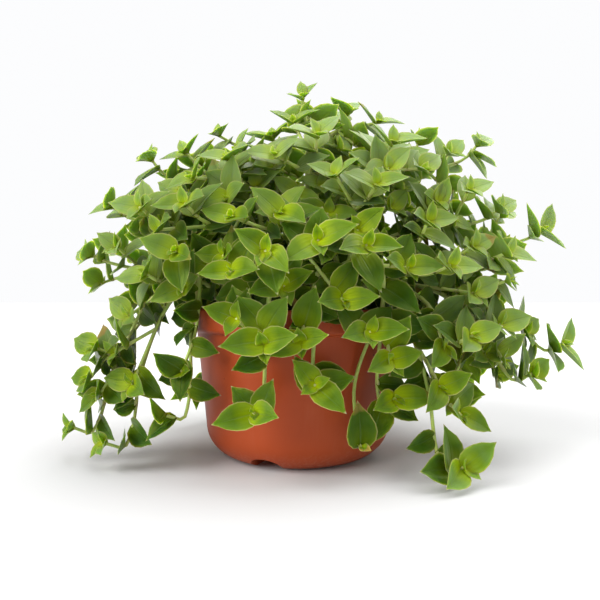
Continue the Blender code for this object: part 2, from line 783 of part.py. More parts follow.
def leaf_frame(shoot, distance, turn, opening):
    """Frame of a leaf: its base on the stem, +Y along its midrib, +Z out of its upper face."""
    base, along, radius = point_back_from_tip(shoot, distance)
    hold = HEADING_HOLD * max(0.0, 1.0 - distance / HEADING_FADE)
    axis = (along * (1.0 - hold) + shoot.heading * hold).normalized()
    level = UP.cross(axis)
    level = level.normalized() if level.length > UPRIGHT else Vector((1.0, 0.0, 0.0))
    level = (level - axis * level.dot(axis)).normalized()
    rising = axis.cross(level)
    around = level * math.cos(turn) + rising * math.sin(turn)
    base = base + around * (BASE_SUNK * radius)
    way = axis * math.cos(opening) + around * math.sin(opening)
    if distance > DROOP_START:
        way = way - UP * DROOP
    way.normalize()
    light = (UP + LIGHT_LEAN * Vector((shoot.heading.x, shoot.heading.y, 0.0))).normalized()
    face = (1.0 - LIGHT_PULL) * (axis - way * axis.dot(way)) + LIGHT_PULL * (light - way * light.dot(way))
    face.normalize()
    across = way.cross(face)
    frame = Matrix((across, way, face)).transposed().to_4x4()
    frame.translation = base
    return frame


def pair_turn(index, fan):
    """How far a leaf is turned round its stem: opposite leaves in pairs, and each pair fanned up or down."""
    turn = fan * PAIR_FANS[index // 2 % len(PAIR_FANS)]
    return math.pi - turn if index % 2 else turn


def grow_leaves(vine, number, vines, fixed):
    """Leaves of one vine, each turned, opened or shrunk until it is clear of all the others, or left out."""
    draw = random.Random(SEED + SEED_STEP * number + LEAF_SEED)
    others = fixed + [(other.surface, other.box) for other in vines if other is not vine]
    own = []
    stems = [surface_of([tube(shoot.path, shoot.radii, STEM_SIDES) for shoot in vine.shoots])]
    for shoot_number, shoot in enumerate(vine.shoots):
        drawn = (draw.uniform(-FIRST_TURN, FIRST_TURN), draw.choice(FANS_UP), shoot.leaf_plan)
        first_turn, fan, shoot.leaf_plan = SEEN_ROSETTES.get((number, shoot_number), drawn)
        for index, (distance, length, opening) in enumerate(shoot.leaf_plan):
            turn = first_turn + pair_turn(index, fan) + draw.uniform(-TURN_JITTER, TURN_JITTER)
            opening = math.radians(opening) + draw.uniform(-OPENING_JITTER, OPENING_JITTER)
            length *= 1.0 + draw.uniform(-LEAF_JITTER, LEAF_JITTER)
            form = draw.randrange(len(LEAF_FORMS))
            for more_turn, more_opening, size in LEAF_TRIES:
                frame = leaf_frame(
                    shoot, distance, turn + math.radians(more_turn), opening + math.radians(more_opening)
                )
                roomy = blade(length * size + 2.0 * BEND_CLEAR, form, LEAF_THICKNESS + 2.0 * BEND_CLEAR)
                points = placed(roomy[0], frame)
                if min(point.z for point in points) < FLOOR_CLEAR:
                    continue
                if all(is_clear(*piece) for piece in (
                    (points, roomy[1], others), (points, roomy[1], own), (*without_base(*roomy, frame), stems)
                )):
                    points, faces = blade(length * size, form, LEAF_THICKNESS)
                    vine.leaves.append((placed(points, frame), faces))
                    own.append(surface_of([vine.leaves[-1]]))
                    break
    tubes = [tube(shoot.path, shoot.radii, STEM_SIDES) for shoot in vine.shoots]
    vine.surface, vine.box = surface_of([*tubes, *vine.leaves])


def is_sound(thing):
    """Whether a joined mesh is closed and nowhere touches itself."""
    points = [vertex.co for vertex in thing.data.vertices]
    faces = {}
    for polygon in thing.data.polygons:
        for edge in polygon.edge_keys:
            faces[edge] = faces.get(edge, 0) + 1
    if any(count != 2 for count in faces.values()):
        return False
    tree = KDTree(len(points))
    for index, point in enumerate(points):
        tree.insert(point, index)
    tree.balance()
    return all(len(tree.find_range(point, TOUCHING)) == 1 for point in points)


def add_vine(vine, number, leaf_material):
    """One solid: the main stem with its side shoots and leaves fused on."""
    name = f"vine_{number + 1:02d}"
    main = vine.shoots[0]
    for shift, solver in itertools.product(JOIN_SHIFTS, ("EXACT", "MANIFOLD")):
        stem = add_mesh(name, *tube(main.path, main.radii, STEM_SIDES))
        growth = bpy.data.collections.new("growth")
        bpy.context.scene.collection.children.link(growth)
        for shoot in vine.shoots[1:]:
            add_mesh("side", *tube(shoot.path, shoot.radii, STEM_SIDES), growth)
        for points, faces in vine.leaves:
            add_mesh("leaf", [point + shift * UP for point in points], faces, growth)
        apply_boolean(stem, "UNION", others=growth, solver=solver)
        keep_main_shell(stem)
        if is_sound(stem):
            finish(stem, leaf_material)
            return stem
        bpy.data.objects.remove(stem)
    raise RuntimeError(f"{name} does not join soundly")


def ground_surface():
    """The pot's and the soil's surfaces, which the vines keep clear of."""
    reach = LIP_RADIUS - 2.0 * WALL_THICKNESS
    profile = [(0.0, 0.0)]
    for ring in range(GROUND_RINGS):
        profile.append((reach * (1.0 - ring / GROUND_RINGS), SOIL_EDGE))
    profile.append((0.0, SOIL_EDGE))
    points, faces = turned(profile, POT_SIDES)
    for point in points:
        if point.z >= SOIL_EDGE:
            point.z = soil_height(point.x, point.y) - SOIL_LUMP
    return [surface_of([turned(pot_profile(), POT_SIDES)]), surface_of([(points, faces)])]


def main():
    clear_scene()
    fixed = ground_surface()
    vines = grow_stems(fixed)
    for number, vine in enumerate(vines):
        grow_leaves(vine, number, vines, fixed)
    print(len(vines), "vines,", sum(len(vine.leaves) for vine in vines), "leaves")
    add_pot()
    add_soil(vines)
    leaf_material = material("turtle_vine_leaf", (0.090, 0.170, 0.035), 0.45)
    for number, vine in enumerate(vines):
        add_vine(vine, number, leaf_material)


if __name__ == "__main__":
    main()
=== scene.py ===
"""Turtle vine in its nursery pot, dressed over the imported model.

Everything is in metres and in the model's own frame: +Z is up, -Y is the front, and the pot's foot
stands on z = 0 around the origin.
"""

import json
import math
import random
from dataclasses import dataclass, field

import bmesh
import bpy
from bpy.props import FloatProperty, FloatVectorProperty, IntProperty, PointerProperty
from mathutils import Euler, Matrix, Vector, geometry, noise
from mathutils.bvhtree import BVHTree

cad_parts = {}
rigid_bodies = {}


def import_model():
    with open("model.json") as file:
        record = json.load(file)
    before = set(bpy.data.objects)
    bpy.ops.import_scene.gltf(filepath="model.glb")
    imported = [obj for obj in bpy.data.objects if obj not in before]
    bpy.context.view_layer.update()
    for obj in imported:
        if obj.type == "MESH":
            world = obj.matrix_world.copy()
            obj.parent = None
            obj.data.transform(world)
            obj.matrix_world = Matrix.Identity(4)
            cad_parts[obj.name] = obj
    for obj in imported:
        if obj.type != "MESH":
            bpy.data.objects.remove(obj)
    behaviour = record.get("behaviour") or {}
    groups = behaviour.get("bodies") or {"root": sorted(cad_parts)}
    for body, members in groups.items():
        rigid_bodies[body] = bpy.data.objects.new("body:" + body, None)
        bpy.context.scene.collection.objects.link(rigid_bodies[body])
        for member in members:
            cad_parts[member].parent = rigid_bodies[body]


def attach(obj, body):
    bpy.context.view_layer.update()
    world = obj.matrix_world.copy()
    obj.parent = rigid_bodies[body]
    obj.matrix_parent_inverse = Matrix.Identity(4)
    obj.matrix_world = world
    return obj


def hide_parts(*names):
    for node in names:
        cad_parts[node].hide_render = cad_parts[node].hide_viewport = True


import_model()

bl_info = {
    "name": "Turtle vine in its pot",
    "version": (1, 0, 0),
    "blender": (4, 5, 0),
    "location": "3D View > Sidebar > Turtle vine",
    "description": "Makes the pot, the soil, the vines and the stage of a potted turtle vine",
    "category": "Add Mesh",
}

UP = Vector((0.0, 0.0, 1.0))
FRONT = Vector((0.0, -1.0, 0.0))

# Clearance that touching pieces keep, and that growing stems and leaves keep from other vines
GAP = 0.0004
BEND_CLEAR = 0.0004

# Pot: a turned shell with a band at its lip and drainage channels under its floor
POT_SIDES = 28
POT_HEIGHT = 0.0820
LIP_RADIUS = 0.0600
LIP_HEIGHT = 0.0125
LIP_ROUNDING = 0.0010
LIP_INSIDE_STEP = 0.0007
WALL_RADIUS_AT_LIP = 0.0565
WALL_RADIUS_AT_FOOT = 0.0515
FOOT_ROUNDING = 0.0180
WALL_THICKNESS = 0.0018
FLOOR_THICKNESS = 0.0020
ROUNDING_STEPS = 3
CHANNELS = 4
CHANNEL_FIRST_ANGLE = math.radians(-112.0)
CHANNEL_WIDTH = 0.0170
CHANNEL_HEIGHT = 0.0070
CHANNEL_START = 0.0200
CHANNEL_SQUARENESS = 0.60
CHANNEL_END_IN_ROUNDING = 0.55
DRAIN_RADIUS = 0.0035
DRAIN_CENTRE = 0.0290
# The same pot as it is dressed: rounder, with soft edges
FINE_POT_SIDES = 112
FINE_ROUNDING_STEPS = 12
FINE_CHANNEL_SIDES = 14
FINE_DRAIN_SIDES = 28
LIP_CORNER_STEPS = 4
LIP_UNDER_ROUNDING = 0.0024
LIP_HOLLOW = 0.0010
# Degrees between faces up to which an edge looks round
POT_SMOOTH = 34.0
SOIL_SMOOTH = 60.0
CRUMB_SMOOTH = 50.0

# Soil: fills the pot up to just under its lip, a little higher in the middle
SOIL_EDGE = 0.0735
SOIL_CROWN = 0.0795
SOIL_LUMP = 0.0009
SOIL_LUMPS_ACROSS = 210.0
GROUND_RINGS = 8
HOLE_DEPTH = 0.0085
FINE_SOIL_SIDES = 96
FINE_SOIL_RINGS = 30
CLOD_HEIGHT = 0.0016
CLODS_ACROSS = 260.0
GRIT_HEIGHT = 0.0006
GRIT_ACROSS = 900.0
# Loose crumbs: their forms, their sizes and the ground they lie on, which ends short of the pot's wall
CRUMB_FORMS = 6
CRUMB_SIZES = (0.0008, 0.0030)
CRUMB_SMALLNESS = 3.0
CRUMB_JITTER = (0.7, 1.15)
CRUMB_FLATNESS = 0.7
CRUMB_RINGS = 24
CRUMB_SIDES = 60
CRUMBS_INSIDE = 0.0022

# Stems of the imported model
STEM_SIDES = 3
ROOT_RADIUS = 0.00150
TIP_RADIUS = 0.00090
SIDE_RADIUS = 0.00110
ROOT_SPACING = 0.0068
ROOT_REACH = 0.0440
ROOT_LIMIT = 0.0475
ROOT_PULL_IN = 0.80
ROOT_SEARCH = 400
ROOT_SEARCH_STEP = 0.0011
ABOVE_SOIL = 0.0015
LOW_TIP = 0.060
HIGH_TIP = 0.200
CREST_ABOVE_RIM = 0.0200
STEM_STEP = 0.0270
MAIN_STEPS = 5
SIDE_STEPS = 2
# How a main stem bends: straight up at first, out to its tip, and down into it where the tip hangs
CLIMB = 1.15
START_LEAN = 0.10
END_REACH = 0.30
END_FALL = 1.05
END_NUDGE = 0.40
SIDE_START = 0.18
SIDE_BEND = 0.35
LOWEST_FOOT = 2
HEADING_CENTRE = 0.110
HEADING_DROP = 0.25
HEADING_LIFT = 0.42
# How much the rosettes that the front shows are turned towards it
FRONT_PULL = 0.78
# The last stretch of a main stem, which points the way that the tip faces
HOOK = 0.0115
# Tries at bending a stem clear of the others: each wanders further than the one before
STEM_TRIES = 60
STEM_NUDGE = 0.0030
LEAST_NUDGE = 2
WIDEST_NUDGE = 12
CLIMB_STEPS = 8
RIM_CLIMB = 0.0020

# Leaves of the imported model: an ovate blade, folded a little along its midrib, arched, drawn out to a tip
LEAF_WIDTH = 0.70
LEAF_THICKNESS = 0.00075
WIDEST_POWER = 0.58
TIP_POWER = 1.02
# Where its outline has corners, on its upper face and on its lower one
SHOULDER = 0.22
WAIST = 0.58
BELLY = 0.40
UPPER_FACES = 4
# Fold and arch of each leaf form, as a share of its width and of its length
LEAF_FORMS = ((0.34, 0.12), (0.26, 0.20), (0.42, 0.07), (0.18, 0.15), (0.30, 0.26))
LEAF_JITTER = 0.10
TURN_JITTER = math.radians(13.0)
OPENING_JITTER = math.radians(7.0)
# How far a shoot's first pair is turned from lying level, and how far each later pair fans up from it
FIRST_TURN = math.radians(34.0)
PAIR_FANS = (0.0, math.radians(52.0), math.radians(18.0))
FANS_UP = (1.0, 1.0, 1.0, -1.0)
LIGHT_PULL = 0.32
LIGHT_LEAN = 0.40
HEADING_HOLD = 0.85
HEADING_FADE = 0.030
UPRIGHT = 0.10
DROOP_START = 0.012
DROOP = 0.22
FLOOR_CLEAR = 0.0012
# How far from the stem's axis a blade starts, as a share of the stem's radius
BASE_SUNK = 0.40
# Distance back from the shoot's tip, leaf length, and opening away from the stem, youngest first
MAIN_LEAVES = (
    (0.0010, 0.0178, 56.0),
    (0.0020, 0.0186, 62.0),
    (0.0075, 0.0202, 74.0),
    (0.0092, 0.0206, 80.0),
)
SIDE_LEAVES = (
    (0.0010, 0.0165, 58.0),
    (0.0022, 0.0172, 64.0),
    (0.0080, 0.0192, 78.0),
)
# Other ways round, openings and sizes that a leaf tries when a neighbour is in its way
LEAF_TRIES = (
    (0.0, 0.0, 1.0),
    (14.0, 0.0, 1.0),
    (-14.0, 0.0, 1.0),
    (0.0, -14.0, 1.0),
    (0.0, 14.0, 1.0),
    (28.0, -8.0, 0.95),
    (-28.0, -8.0, 0.95),
    (0.0, -28.0, 0.9),
    (45.0, -10.0, 0.85),
    (-45.0, -10.0, 0.85),
    (20.0, 20.0, 0.8),
    (-20.0, -35.0, 0.8),
)

# Tips of the vines that the front shows, across, back and up: the vine's own first, then its side shoots'
SEEN_VINES = (
    ((-0.0198, -0.072, 0.036), (-0.0152, -0.078, 0.067)),
    ((0.008, -0.074, 0.049), (0.001, -0.074, 0.068)),
    ((0.033, -0.070, 0.073),),
    ((0.047, -0.057, 0.040), (0.043, -0.064, 0.058), (0.029, -0.066, 0.019)),
    ((-0.0275, -0.073, 0.079), (-0.030, -0.074, 0.100)),
    ((-0.014, -0.080, 0.109), (-0.006, -0.072, 0.093)),
    ((0.009, -0.076, 0.114), (0.021, -0.072, 0.086)),
    ((0.031, -0.073, 0.112), (0.052, -0.062, 0.102)),
    ((-0.008, -0.062, 0.128), (-0.031, -0.062, 0.126)),
    ((0.038, -0.052, 0.143),),
    ((0.074, -0.052, 0.104),),
    ((0.003, -0.006, 0.200),),
    ((0.029, 0.022, 0.199), (0.048, 0.014, 0.191)),
    ((-0.015, 0.016, 0.183), (-0.047, 0.012, 0.183)),
    ((0.010, -0.034, 0.172),),
    ((-0.036, -0.034, 0.160),),
    ((0.050, -0.025, 0.170), (0.067, -0.022, 0.156)),
    ((0.110, 0.024, 0.181), (0.090, 0.010, 0.172)),
    ((0.115, 0.000, 0.138), (0.092, -0.020, 0.146)),
    ((0.144, 0.010, 0.127), (0.124, 0.024, 0.138)),
    ((0.152, 0.000, 0.061), (0.131, 0.000, 0.068)),
    ((0.112, -0.022, 0.112),),
    ((0.105, -0.034, 0.074), (0.090, -0.038, 0.090)),
    ((0.126, -0.022, 0.047), (0.098, -0.028, 0.058)),
    ((0.077, -0.067, 0.010), (0.069, -0.055, 0.044), (0.080, -0.050, 0.030)),
    ((0.084, -0.056, 0.070),),
    ((-0.085, 0.006, 0.168), (-0.064, 0.000, 0.170)),
    ((-0.104, -0.006, 0.139),),
    ((-0.118, 0.000, 0.112), (-0.100, -0.012, 0.116)),
    ((-0.106, -0.030, 0.062), (-0.088, -0.032, 0.078)),
    ((-0.122, -0.020, 0.018), (-0.104, -0.030, 0.036), (-0.112, -0.022, 0.044)),
    ((-0.099, -0.038, 0.014), (-0.083, -0.042, 0.044), (-0.093, -0.038, 0.060)),
    ((-0.066, -0.047, 0.030), (-0.056, -0.054, 0.052)),
    ((-0.076, -0.046, 0.100),),
    ((-0.055, -0.050, 0.134), (-0.070, -0.040, 0.122)),
)

# The few leaves of the thin stem that hangs beside the pot at the left, the one leaf of the stem that
# hangs lowest in front, and the small leaves of a thin sprig and of two trailing tips
LOW_LEAVES = ((0.0010, 0.0190, 30.0), (0.0060, 0.0180, 50.0))
LAST_LEAF = ((0.0010, 0.0235, 74.0),)
SPRIG_LEAVES = ((0.0010, 0.0120, 48.0), (0.0020, 0.0105, 60.0), (0.0120, 0.0100, 70.0))
TRAILING_LEAVES = ((0.0010, 0.0125, 48.0), (0.0020, 0.0105, 60.0), (0.0110, 0.0180, 70.0))

# Where the photo shows a rosette plainly, by vine and shoot: how many degrees its first pair is turned,
# and its leaves where they aren't a main stem's
SEEN_TURNS = {
    (0, 0): 12.0,
    (0, 1): 15.0,
    (1, 0): -50.0,
    (3, 2): 86.0,
    (11, 0): 20.0,
    (19, 0): 58.0,
    (20, 0): 70.0,
    (23, 0): 35.0,
    (24, 0): 38.0,
    (29, 0): -16.0,
    (30, 0): 10.0,
    (31, 0): -20.0,
    (32, 0): 60.0,
    (32, 1): 100.0,
}
SEEN_LEAVES = {
    (3, 2): LAST_LEAF,
    (11, 0): SPRIG_LEAVES,
    (30, 0): TRAILING_LEAVES,
    (31, 0): TRAILING_LEAVES,
    (32, 0): LOW_LEAVES,
    (32, 1): LOW_LEAVES,
}

# Vines of the hidden back, by a rule: they fill the same dome on three levels. Each level has how far
# out and up its tips are, and how widely they spread: the low ones hang behind the pot
BACK_VINES = 16
BACK_FROM = math.radians(8.0)
BACK_SPAN = math.radians(164.0)
BACK_LEVELS = ((0.112, 0.052, 0.50), (0.118, 0.112, 1.0), (0.082, 0.160, 1.0))
BACK_JITTER = 0.010
BACK_SIDE_TURN = math.radians(17.0)
BACK_SIDE_RISE = 0.016
BACK_SIDE_FALL = 0.022
BACK_SIDE_PULL_IN = 0.010
GOLDEN = (math.sqrt(5.0) - 1.0) / 2.0
SEED = 5
SEED_STEP = 100
LEAF_SEED = 7

# Shoots that thicken the dome: a few where the photo shows one, the rest by a rule
MORE_SEEN_TIPS = (
    (-0.012, -0.040, 0.160),
    (-0.055, -0.030, 0.150),
    (0.018, -0.050, 0.148),
    (0.064, -0.048, 0.126),
    (-0.058, -0.058, 0.110),
    (0.111, -0.028, 0.097),
    (-0.084, -0.022, 0.136),
    (0.108, -0.030, 0.054),
    (0.070, -0.056, 0.064),
)
FILL_DIRECTIONS = 330
FILL_CENTRE = Vector((0.0, 0.0, 0.085))
FILL_LOWEST = -0.62
FILL_BLEND = 0.30
FILL_REACH = (0.64, 0.93)
FILL_SPACING = 0.0135
FILL_LOWEST_TIP = 0.020
# The dome's sides are thinner than its top, and close round the pot it is nearly bare
FILL_THIN_BELOW = 0.42
FILL_THIN_SHARE = 0.45
BARE_RING = 0.088
BARE_RING_TOP = 0.072
BARE_RING_LEAVES = 0.50
FILL_GAP = (0.014, 0.070)
FILL_TRIES = 14
NEAREST_VINES = 4
# How far from a shoot's foot its leaves keep
FOOT_CLEAR = 0.002
FILL_SEED = 11
# How filling shoots face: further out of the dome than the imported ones, and each a little its own way
FILL_HEADING_SPREAD = 1.55
FILL_HEADING_LIFT = 0.16
FILL_HEADING_WANDER = 0.30
FILL_LIGHT_LEAN = 1.25
# The pot's front stays as bare as the photo shows it
BARE_FRONT_HALF_WIDTH = 0.072
BARE_FRONT_BACK = -0.010
BARE_FRONT_TOP = 0.090
FILL_LEAVES = (
    (0.0010, 0.0158, 54.0),
    (0.0020, 0.0168, 60.0),
    (0.0075, 0.0194, 72.0),
    (0.0090, 0.0198, 78.0),
    (0.0170, 0.0196, 84.0),
    (0.0250, 0.0192, 86.0),
)
# Two small leaves that still lie close together, at each tip
BUD_LEAVES = ((0.0002, 0.0050, 14.0), (0.0004, 0.0060, 26.0))
HEART_LEAVES = ((0.0003, 0.0088, 46.0), (0.0005, 0.0098, 54.0))
HEART_SHARE = 0.70
HEART_JITTER = math.radians(16.0)
BUD_SIZE = (0.85, 1.15)
BUD_YOUTH = (0.85, 1.0)
BUD_FORMS = (0, 2)
BUD_SEED = 23
# How young a leaf looks by its distance from the tip
YOUNG_WITHIN = 0.016
YOUTH_POWER = 1.3
YOUTH_JITTER = (0.6, 1.0)

# Leaves further down the stems
OLD_LEAF_SPACING = 0.0098
OLD_LEAF_SPACING_JITTER = 0.0020
OLD_LEAF_LENGTH = (0.0155, 0.0200)
OLD_LEAF_OPENING = (74.0, 96.0)
OLD_LEAF_SPIRAL = math.radians(24.0)
OLD_LIGHT_PULL = 0.62
OLD_LEAF_LOWEST = 0.0055
OLD_SEED = 41
# How much paler tones an old leaf may have, against a leaf near a tip: old leaves, lower on the stems and
# deep in the dome, stay darker, partly from their older green and partly as painted shade
OLD_SHADED_TONE = 0.50
# Half the dome's width, depth and height, where its shaded inside ends, and how dark leaves are painted
# there as shade
DOME_HALF_SIZE = (0.148, 0.118, 0.118)
SHADE_UP_TO = 0.76
SHADE_FADE = 0.30
SHADED_TONE = 0.08
# From where up and out to the sides leaves are paled as painted light, where light falls on the dome, and
# less so low down
SUN_UP_TO = 0.38
SUN_FROM_HEIGHT = 0.125
SUN_FADE_HEIGHT = 0.045
SUN_FROM_SIDE = 0.055
SUN_FADE_SIDE = 0.045
SUN_AT_SIDE = 0.95
SUN_SIDE_FROM_HEIGHT = 0.045
SUN_SIDE_FADE_HEIGHT = 0.070
AGE_FADE = 0.055
LEAF_MIDDLE = 0.6
# A few leaves have dried at their tips, and the one on the low stem in front is old
DRY_SHARE = 0.035
DRY_AMOUNT = (0.35, 0.90)
OLD_ROSETTES = {(3, 2): 0.45, (32, 0): 0.0, (32, 1): 0.0}

# Soil smeared on the pot, dark spots on it, grit in the soil, and how much darker the floor's grain is
SMEAR_COLOUR = (0.035, 0.020, 0.012)
SPOT_COLOUR = (0.045, 0.016, 0.010)
GRIT_COLOUR = (0.16, 0.12, 0.085)
PAPER_SHADE = 0.985
# The even light's colour, and from where the lights shine on the pot
SKY_COLOUR = (0.985, 0.990, 1.0)
KEY_PLACE = (-1.00, -0.60, 0.80)
TOP_PLACE = (0.42, 0.22, 1.00)
FILL_PLACE = (0.90, -1.00, 0.50)

# Fine stems and leaves
FINE_STEM_STEP = 0.0042
NODE_SWELL = 0.24
NODE_SWELL_LENGTH = 0.0013
BLADE_STATIONS = (0.0, 0.07, 0.20, 0.37, 0.55, 0.73, 0.88)
BLADE_BASE_WIDTH = 0.050
BLADE_THICKNESS = 0.040
BLADE_BULGE = 0.070
BLADE_CLASP = 1.1
BLADE_SWAY = 0.050
BLADE_RIPPLE = 0.010
RIPPLES = 9.0
CLASP_WITHIN = 0.25
THINNED = 0.60
# The blades of a pair start behind their stem, so that they meet like one boat. The tip is drawn out
BLADE_BACK = 0.075
DRAWN_OUT_FROM = 0.78
DRAWN_OUT_TO = 0.90
DRAWN_OUT = 0.34


class Wire:
    """A node's output. Python's operators on it add the nodes that work them out."""

    def __init__(self, board, socket):
        self.board = board
        self.socket = socket

    def combined(self, operation, *values):
        return self.board.node("ShaderNodeMath", {"operation": operation}, dict(enumerate(values)))

    def __add__(self, other):
        return self.combined("ADD", self, other)

    def __radd__(self, other):
        return self.combined("ADD", other, self)

    def __sub__(self, other):
        return self.combined("SUBTRACT", self, other)

    def __rsub__(self, other):
        return self.combined("SUBTRACT", other, self)

    def __mul__(self, other):
        return self.combined("MULTIPLY", self, other)

    def __pow__(self, other):
        return self.combined("POWER", self, other)

    def __abs__(self):
        return self.combined("ABSOLUTE", self)

    def sine(self):
        return self.combined("SINE", self)


class Board:
    """A node tree that nodes are put on, one call each."""

    def __init__(self, tree):
        self.tree = tree

    def node(self, kind, settings=None, sockets=None, output=0):
        """Adds a node, sets it, fills or links its sockets, and gives back one of its outputs."""
        made = self.tree.nodes.new(kind)
        for name, value in (settings or {}).items():
            setattr(made, name, value)
        for name, value in (sockets or {}).items():
            self.fill(self.socket(made.inputs, name), value)
        return Wire(self, self.socket(made.outputs, output))

    def socket(self, sockets, name):
        if isinstance(name, int):
            return [each for each in sockets if each.enabled][name]
        named = [each for each in sockets if each.enabled and name in (each.name, each.identifier)]
        return named[0]

    def fill(self, socket, value):
        if isinstance(value, Wire):
            self.tree.links.new(value.socket, socket)
        elif socket.type == "RGBA":
            socket.default_value = (*value, 1.0)
        else:
            socket.default_value = value

    def mix(self, share, first, second):
        """A colour between two, by a share from 0 to 1."""
        sockets = {"Factor_Float": share, "A_Color": first, "B_Color": second}
        return self.node("ShaderNodeMix", {"data_type": "RGBA"}, sockets, "Result_Color")

    def layered(self, colour, *layers):
        """A colour with others laid over it, each by its share from 0 to 1."""
        for share, other in layers:
            colour = self.mix(share, colour, other)
        return colour

    def dress(self, shader, values):
        """Fills or links a shader's sockets by their names."""
        for name, value in values.items():
            self.fill(shader.inputs[name], value)

    def clamped(self, value, low, high):
        """A value moved from low..high to 0..1 and held there."""
        return self.node("ShaderNodeMapRange", {"clamp": True}, {0: value, 1: low, 2: high})

    def attribute(self, name, output="Fac"):
        return self.node("ShaderNodeAttribute", {"attribute_name": name}, {}, output)

    def place(self):
        return self.node("ShaderNodeTexCoord", {}, {}, "Object")

    def noise(self, place, scale, detail=2.0, roughness=0.5):
        sockets = {"Vector": place, "Scale": scale, "Detail": detail, "Roughness": roughness}
        return self.node("ShaderNodeTexNoise", {}, sockets, "Fac")

    def bump(self, height, strength, distance):
        sockets = {"Strength": strength, "Distance": distance, "Height": height}
        return self.node("ShaderNodeBump", {}, sockets)

    def painted(self, geometry, finish):
        return self.node("GeometryNodeSetMaterial", {}, {"Geometry": geometry, "Material": finish})

    def scattered(self, points, forms, index, turn, size):
        """One of a collection's forms on each point, picked, turned and sized by what is wired to it."""
        sockets = {"Collection": forms, "Separate Children": True, "Reset Children": True}
        forms = self.node("GeometryNodeCollectionInfo", {}, sockets)
        sockets = {"Points": points, "Instance": forms, "Pick Instance": True}
        sockets |= {"Instance Index": index, "Rotation": turn, "Scale": size}
        return self.node("GeometryNodeInstanceOnPoints", {}, sockets)

    def realized(self, geometry):
        return self.node("GeometryNodeRealizeInstances", {}, {"Geometry": geometry})

    def hand_out(self, name, value):
        """Links a value to the group's output."""
        self.fill(self.tree.nodes.new("NodeGroupOutput").inputs[name], value)


def new_finish(name):
    """A material with its board and its shader."""
    made = bpy.data.materials.new(name)
    made.use_nodes = True
    return made, Board(made.node_tree), made.node_tree.nodes["Principled BSDF"]


def settings():
    return bpy.context.scene.turtle_vine


def pot_finish(look):
    """Satin moulded plastic: faint streaks of dust, scuffs, and soil smears by the lip."""
    made, board, shader = new_finish("terracotta_plastic")
    place = board.place()
    height = board.node("ShaderNodeSeparateXYZ", {}, {0: place}, "Z")
    broad = board.noise(place, 26.0, 3.0)
    stretched = board.node("ShaderNodeMapping", {}, {"Vector": place, "Scale": (1.0, 1.0, 0.10)})
    streaks = board.noise(stretched, 190.0, 4.0)
    specks = board.noise(place, 620.0, 2.0)
    dusty = board.clamped(streaks, 0.52, 0.80) * board.clamped(broad, 0.40, 0.70)
    by_lip = board.clamped(height, POT_HEIGHT - 1.4 * LIP_HEIGHT, POT_HEIGHT)
    smear = board.clamped(board.noise(place, 240.0, 5.0, 0.6), 0.60, 0.70) * by_lip
    by_foot = 1.0 - board.clamped(height, 0.001, 0.012)
    spots = board.clamped(board.noise(place, 330.0, 1.0), 0.800, 0.812)
    colour = board.layered(
        look.dark_colour,
        (board.clamped(broad, 0.20, 0.80), look.colour),
        (dusty * 0.14, look.dust_colour),
        (smear * 0.70, SMEAR_COLOUR),
        (by_foot * board.clamped(specks, 0.45, 0.75) * 0.35, look.dust_colour),
        (spots * 0.85, SPOT_COLOUR),
    )
    board.dress(shader, {
        "Base Color": colour,
        "Roughness": look.roughness + dusty * 0.16 + (streaks - 0.5) * 0.10,
        "Normal": board.bump(specks * 0.35 + broad * 0.30 + streaks * 0.30, 0.22, 0.0004),
        "Specular IOR Level": 0.24,
    })
    return made


def soil_finish(look):
    """Damp potting soil: dark peat with paler grit, and thin moss where it stays wet."""
    made, board, shader = new_finish("potting_soil")
    place = board.place()
    grain = board.noise(place, 900.0, 6.0, 0.7)
    clods = board.noise(place, 210.0, 4.0, 0.6)
    grit = board.clamped(board.noise(place, 1500.0, 2.0), 0.68, 0.76)
    mossy = board.clamped(board.noise(place, 75.0, 3.0), 0.50, 0.62) * board.clamped(clods, 0.35, 0.60)
    colour = board.layered(
        look.dark_colour,
        (board.clamped(grain, 0.35, 0.70), look.colour),
        (grit * 0.55, GRIT_COLOUR),
        (mossy * 0.80, look.moss_colour),
    )
    board.dress(shader, {
        "Base Color": colour,
        "Roughness": 0.97 - board.clamped(clods, 0.60, 0.80) * 0.22,
        "Normal": board.bump(grain + clods, 0.9, 0.0009),
        "Specular IOR Level": 0.30,
    })
    return made


def crumb_finish(look):
    """Crumbs of peat and bark, each with its own tone."""
    made, board, shader = new_finish("soil_crumbs")
    place = board.place()
    tone = board.attribute("tone")
    grain = board.noise(place, 1400.0, 4.0, 0.6)
    mossy = board.clamped(board.noise(place, 75.0, 3.0), 0.50, 0.60)
    colour = board.layered(
        look.dark_colour,
        (tone, look.crumb_colour),
        (board.clamped(grain, 0.4, 0.8) * 0.5, look.colour),
        (mossy * 0.75, look.moss_colour),
    )
    board.dress(shader, {
        "Base Color": colour,
        "Roughness": 0.96 - tone * 0.15,
        "Normal": board.bump(grain, 0.7, 0.0006),
        "Specular IOR Level": 0.30,
    })
    return made


